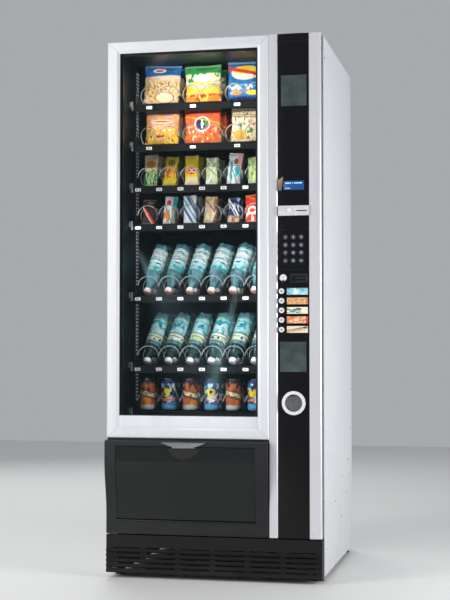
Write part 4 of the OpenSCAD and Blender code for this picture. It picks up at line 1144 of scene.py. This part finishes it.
def make_column_trim():
    """Rings round the buttons, lock and keys, the seams across the fascia, and the reader's frame."""
    rings = Build()
    for k in range(5):
        z = 0.9677 - k * 0.032
        rings.add(*ring_plate((RIGHT - 0.1336, z), 0.0094, 0.0108, DOOR_Y - 0.0012, DOOR_Y + 0.004))
    rings.add(*ring_plate((RIGHT - 0.1274, 1.0119), 0.0119, 0.0131, DOOR_Y - 0.0026, DOOR_Y + 0.004))
    rings.finish("button_rings", "door", ["black"])
    make_button_glyphs()
    rims = Build()
    for k in range(12):
        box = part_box(f"key_{k + 1}")
        middle = centre(box)
        rims.add(*ring_plate((middle.x, middle.z), 0.00892, 0.0102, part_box("keypad_plate")[0].y - 0.0007,
                             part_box("keypad_plate")[0].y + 0.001, 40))
    rims.finish("key_rims", "door", ["keypad"])
    seams = Build()
    for z in (1.0388, 1.1728, 1.8045):
        seams.add(*bevelled_box((RIGHT - 0.1465, DOOR_Y - 0.0022, z - 0.0005),
                                (RIGHT - 0.041, DOOR_Y + 0.003, z + 0.0005), 0.0004))
    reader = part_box("card_reader")
    for lo, hi in (((reader[0].x, reader[1].z - 0.0022), (reader[1].x, reader[1].z)),
                   ((reader[0].x, reader[0].z), (reader[1].x, reader[0].z + 0.0022)),
                   ((reader[0].x, reader[0].z), (reader[0].x + 0.0022, reader[1].z)),
                   ((reader[1].x - 0.0022, reader[0].z), (reader[1].x, reader[1].z))):
        seams.add(*bevelled_box((lo[0], reader[0].y - 0.0012, lo[1]), (hi[0], reader[0].y + 0.001, hi[1]),
                                0.0007))
    seams.finish("fascia_trim", "door", ["charcoal"])


# ---------------------------------------------------------------- door and casing details


def frame_ring(build, x, z, width, y, radius, mat=0):
    """Four bevelled bars round a rectangle."""
    bars = (((x[0], z[0]), (x[1], z[0] + width)), ((x[0], z[1] - width), (x[1], z[1])),
            ((x[0], z[0] + width), (x[0] + width, z[1] - width)),
            ((x[1] - width, z[0] + width), (x[1], z[1] - width)))
    for lo, hi in bars:
        build.add(*bevelled_box((lo[0], y[0], lo[1]), (hi[0], y[1], hi[1]), radius), mat)


def make_door_details():
    """The door's gasket and latch bits, the bead round the glass and the mitre lines."""
    frame_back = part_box("door_frame")[1].y
    gasket = Build()
    frame_ring(gasket, (LEFT + 0.014, 0.196), (0.156, 1.812), 0.010,
               (frame_back - 0.0005, frame_back + 0.0044), 0.0018)
    frame_ring(gasket, (LEFT + 0.017, 0.193), (0.159, 1.809), 0.003,
               (frame_back - 0.0004, frame_back + 0.0047), 0.0012)
    gasket.finish("door_gasket", "door", ["rubber"])
    latches = Build()
    for z in (1.785, 1.400, 0.830, 0.270):
        latches.add(*bevelled_box((RIGHT - 0.012, frame_back - 0.0005, z - 0.005),
                                  (RIGHT - 0.0004, frame_back + 0.0036, z + 0.005), 0.0012))
    latches.finish("door_stops", "door", ["clip"])
    seal = Build()
    window = (LEFT + 0.043, RIGHT - 0.216)
    frame_ring(seal, (window[0] - 0.0005, window[1] + 0.0005), (0.5495, 1.7905), 0.0032,
               (DOOR_Y + 0.0055, DOOR_Y + 0.0102), 0.0012)
    seal.finish("glazing_bead", "door", ["rubber"])
    mitres = Build()
    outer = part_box("glass_surround")
    corners = (((outer[0].x, outer[1].z), (window[0], 1.790)), ((outer[1].x, outer[1].z), (window[1], 1.790)),
               ((outer[0].x, outer[0].z), (window[0], 0.512)), ((outer[1].x, outer[0].z), (window[1], 0.512)))
    for a, b in corners:
        start, end = Vector((a[0], 0, a[1])), Vector((b[0], 0, b[1]))
        run = (end - start).normalized()
        across = Vector((-run.z, 0, run.x)) * 0.00022
        first, last = start + run * 0.006, end - run * 0.013
        verts = [(p + across * s + Vector((0, y, 0))) for y in (DOOR_Y - 0.00012, DOOR_Y + 0.0004)
                 for p, s in ((first, 1), (last, 1), (last, -1), (first, -1))]
        mitres.add(verts, prism_faces(4))
    mitres.finish("mitre_lines", "door", ["dark_plastic"], smooth=False)


def lens_outline(half, drop, steps):
    """Lower arc of a lens, from its left tip to its right tip."""
    r = (half * half + drop * drop) / (2 * drop)
    return [(x, r - math.sqrt(r * r - x * x) - drop)
            for x in (half * (2 * k / steps - 1) for k in range(steps + 1))]


def make_flap_details():
    """The finger recess below the lip, a flat lens whose near-black fill is painted shade, with an arrow, the
    flap's rim and the housing's seam lines.
    """
    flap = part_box("delivery_flap")
    middle = (flap[0].x + flap[1].x) / 2 - 0.001
    front = DOOR_Y - 0.024 + 0.0015
    arc = lens_outline(0.057, 0.035, 28)
    top = 0.4405
    shaded_recess = Build()
    # the outer lens is the charcoal rim; the inner near-black lens is painted shade for the finger hollow
    for scale, y, mat in ((1.0, front - 0.0009, 0), (0.93, front - 0.0013, 1)):
        points = [(middle + x * scale, top - 0.001 * mat + z * scale) for x, z in arc]
        verts = [(a, y, b) for a, b in points] + [(a, front + 0.001, b) for a, b in points]
        shaded_recess.add(verts, prism_faces(len(points)), mat)
    shaded_recess.finish("painted_shade_grip_recess", "delivery_flap", ["charcoal", "shaded_recess"], angle=25)
    arrow = Build()
    for side in (-1, 1):
        inner, outer = Vector((middle, 0, 0.4165)), Vector((middle + side * 0.013, 0, 0.4245))
        rise = Vector((0, 0, 0.0032))
        verts = [p + Vector((0, y, 0)) for y in (front - 0.0017, front - 0.0012)
                 for p in (inner, outer, outer + rise, inner + rise)]
        faces = prism_faces(4)
        arrow.add(verts, faces if side > 0 else [f[::-1] for f in faces])
    arrow.finish("pull_arrow", "delivery_flap", ["charcoal"], smooth=False)
    lines = Build()
    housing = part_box("delivery_housing")
    seam, sill = 0.1545, 0.1945
    lines.add(*bevelled_box((housing[0].x + 0.001, DOOR_Y - 0.0009, seam),
                            (housing[1].x - 0.001, DOOR_Y + 0.0003, seam + 0.0016), 0.0005))
    lines.add(*bevelled_box((flap[0].x + 0.010, DOOR_Y - 0.0028, sill),
                            (flap[1].x - 0.010, DOOR_Y + 0.0005, sill + 0.003), 0.0012))
    lines.finish("housing_lines", "door", ["charcoal"])


def screw_head(build, center, axis_turn, r=0.0036):
    """A domed screw with a slot, standing on the surface at center."""
    head = lathe([(0.0006, 0.0), (r, 0.0), (r, 0.0006), (r * 0.8, 0.0013), (r * 0.35, 0.0016),
                  (0.0006, 0.0016)], 20)
    cross = bevelled_box((-r * 0.6, -0.0003, 0.0012), (r * 0.6, 0.0003, 0.0018), 0.0001, 1)
    place = Matrix.Translation(center) @ axis_turn
    build.add(head[0], head[1], 0, None, place)
    build.add(cross[0], cross[1], 1, None, place)


def make_casing_details():
    """Screws, the folded edges of the side panels, and the plate and inlet at the back."""
    screws = Build()
    spots = ((-0.05, 0.24), (0.12, 0.31), (0.24, 0.24), (0.30, 0.36), (0.35, 0.30), (0.37, 0.47),
             (0.10, 0.17),
             (-0.25, 0.10), (0.38, 0.62), (0.38, 1.10), (0.38, 1.60), (-0.30, 1.76), (0.36, 1.79))
    for side in (-1, 1):
        turn = Matrix.Rotation(side * math.pi / 2, 4, "Y")
        for y, z in spots:
            screw_head(screws, (side * RIGHT, y, z), turn)
    back = cad_bounds[1].y
    for x in (-0.34, -0.12, 0.12, 0.34):
        for z in (0.08, 0.62, 1.20, 1.79):
            screw_head(screws, (x, back, z), Matrix.Rotation(-math.pi / 2, 4, "X"))
    for x in (-0.33, 0.33):
        for y in (-0.28, 0.05, 0.37):
            screw_head(screws, (x, y, cad_bounds[1].z), Matrix.Identity(4))
    screws.finish("casing_screws", "cabinet", ["zinc", "dark_plastic"])
    edges = Build()
    for side in (-1, 1):
        x = side * RIGHT
        lo, hi = min(x, x + side * 0.0008), max(x, x + side * 0.0008)
        edges.add(*bevelled_box((lo, -0.3295, 0.02), (hi, -0.3085, 1.8285), 0.0003, 1))
        edges.add(*bevelled_box((lo, 0.388, 0.02), (hi, 0.4095, 1.8285), 0.0003, 1))
    edges.finish("casing_edge_folds", "cabinet", ["casing"])
    plate = Build()
    plate.add(*bevelled_box((-0.06, back - 0.0002, 0.70), (0.10, back + 0.0012, 0.80), 0.0008))
    plate.add(*bevelled_box((0.20, back - 0.0002, 0.10), (0.28, back + 0.012, 0.16), 0.003))
    plate.finish("rating_plate_and_inlet", "cabinet", ["dark_plastic"])


# ---------------------------------------------------------------- stage


SMALLEST_REFLECTED = 1.2


def area_light(name, at, aim, size, power, color=(1, 1, 1)):
    """A rectangular lamp aimed at a point; only the large ones show in reflections."""
    data = bpy.data.lights.new(name, "AREA")
    data.shape = "RECTANGLE"
    data.size, data.size_y = size
    data.energy = power
    data.color = color
    lamp = link_new(name, data)
    lamp.visible_glossy = max(size) > SMALLEST_REFLECTED
    lamp.location = at
    lamp.rotation_mode = "QUATERNION"
    lamp.rotation_quaternion = (Vector(aim) - Vector(at)).to_track_quat("-Z", "Z")
    return lamp


def make_stage():
    """Camera, pale floor, soft studio light, and the lamps inside the cabinet."""
    camera = bpy.data.cameras.new("camera")
    camera.lens = 81.6
    camera.sensor_width = 36.0
    view = link_new("camera", camera)
    view.location = (1.0181, -4.8371, 0.7798)
    view.rotation_euler = (math.radians(92.008), 0.0, math.radians(12.336))
    bpy.context.scene.camera = view

    bpy.context.scene.view_settings.view_transform = "Standard"

    world = bpy.data.worlds.new("studio")
    bpy.context.scene.world = world
    world.use_nodes = True
    background = world.node_tree.nodes["Background"]
    background.inputs["Color"].default_value = (0.93, 0.95, 1.0, 1.0)
    background.inputs["Strength"].default_value = 0.42

    sheet = bpy.data.meshes.new("floor")
    sheet.from_pydata([(-6, -6, 0), (6, -6, 0), (6, 6, 0), (-6, 6, 0)], [], [(0, 1, 2, 3)])
    floor = link_new("floor", sheet)
    pale = Shader("pale_floor", srgb(226, 226, 224), 0.6).mottle(0.6, 0.02).bump(40.0, 0.0005, strength=0.05)
    sheet.materials.append(pale.mat)

    area_light("key", (-3.2, -3.4, 2.0), (0, 0, 0.9), (1.8, 2.4), 138)
    area_light("fill", (2.3, -0.9, 1.0), (0.37, 0, 1.0), (1.3, 0.9), 42)
    area_light("back", (-1.8, 3.2, 2.8), (0, 0, 1.2), (2.5, 2.0), 50)
    area_light("top_lamp", (-0.086, -0.322, 1.778), (-0.086, -0.02, 1.42), (0.44, 0.02), 0.8,
               (1.0, 0.97, 0.9))
    area_light("second_lamp", (-0.086, -0.322, 1.62), (-0.086, 0.0, 1.50), (0.44, 0.01), 1.0,
               (1.0, 0.97, 0.9))
    for name, x, power in (("lane_left", -0.30, 2.1), ("lane_right", 0.13, 2.6)):
        area_light(name, (x, -0.325, 1.17), (x * 0.1, 0.1, 1.15), (0.02, 1.15), power, (0.95, 0.98, 1.0))


# ---------------------------------------------------------------- assembly

make_stage()
dress_cad()
make_spirals()
make_bags()
make_bars()
make_bottles()
make_cans()
make_price_tags()
make_shelf_fronts()
make_rail_studs()
make_labels()
make_display()
make_key_marks()
make_column_trim()
make_door_details()
make_flap_details()
make_casing_details()
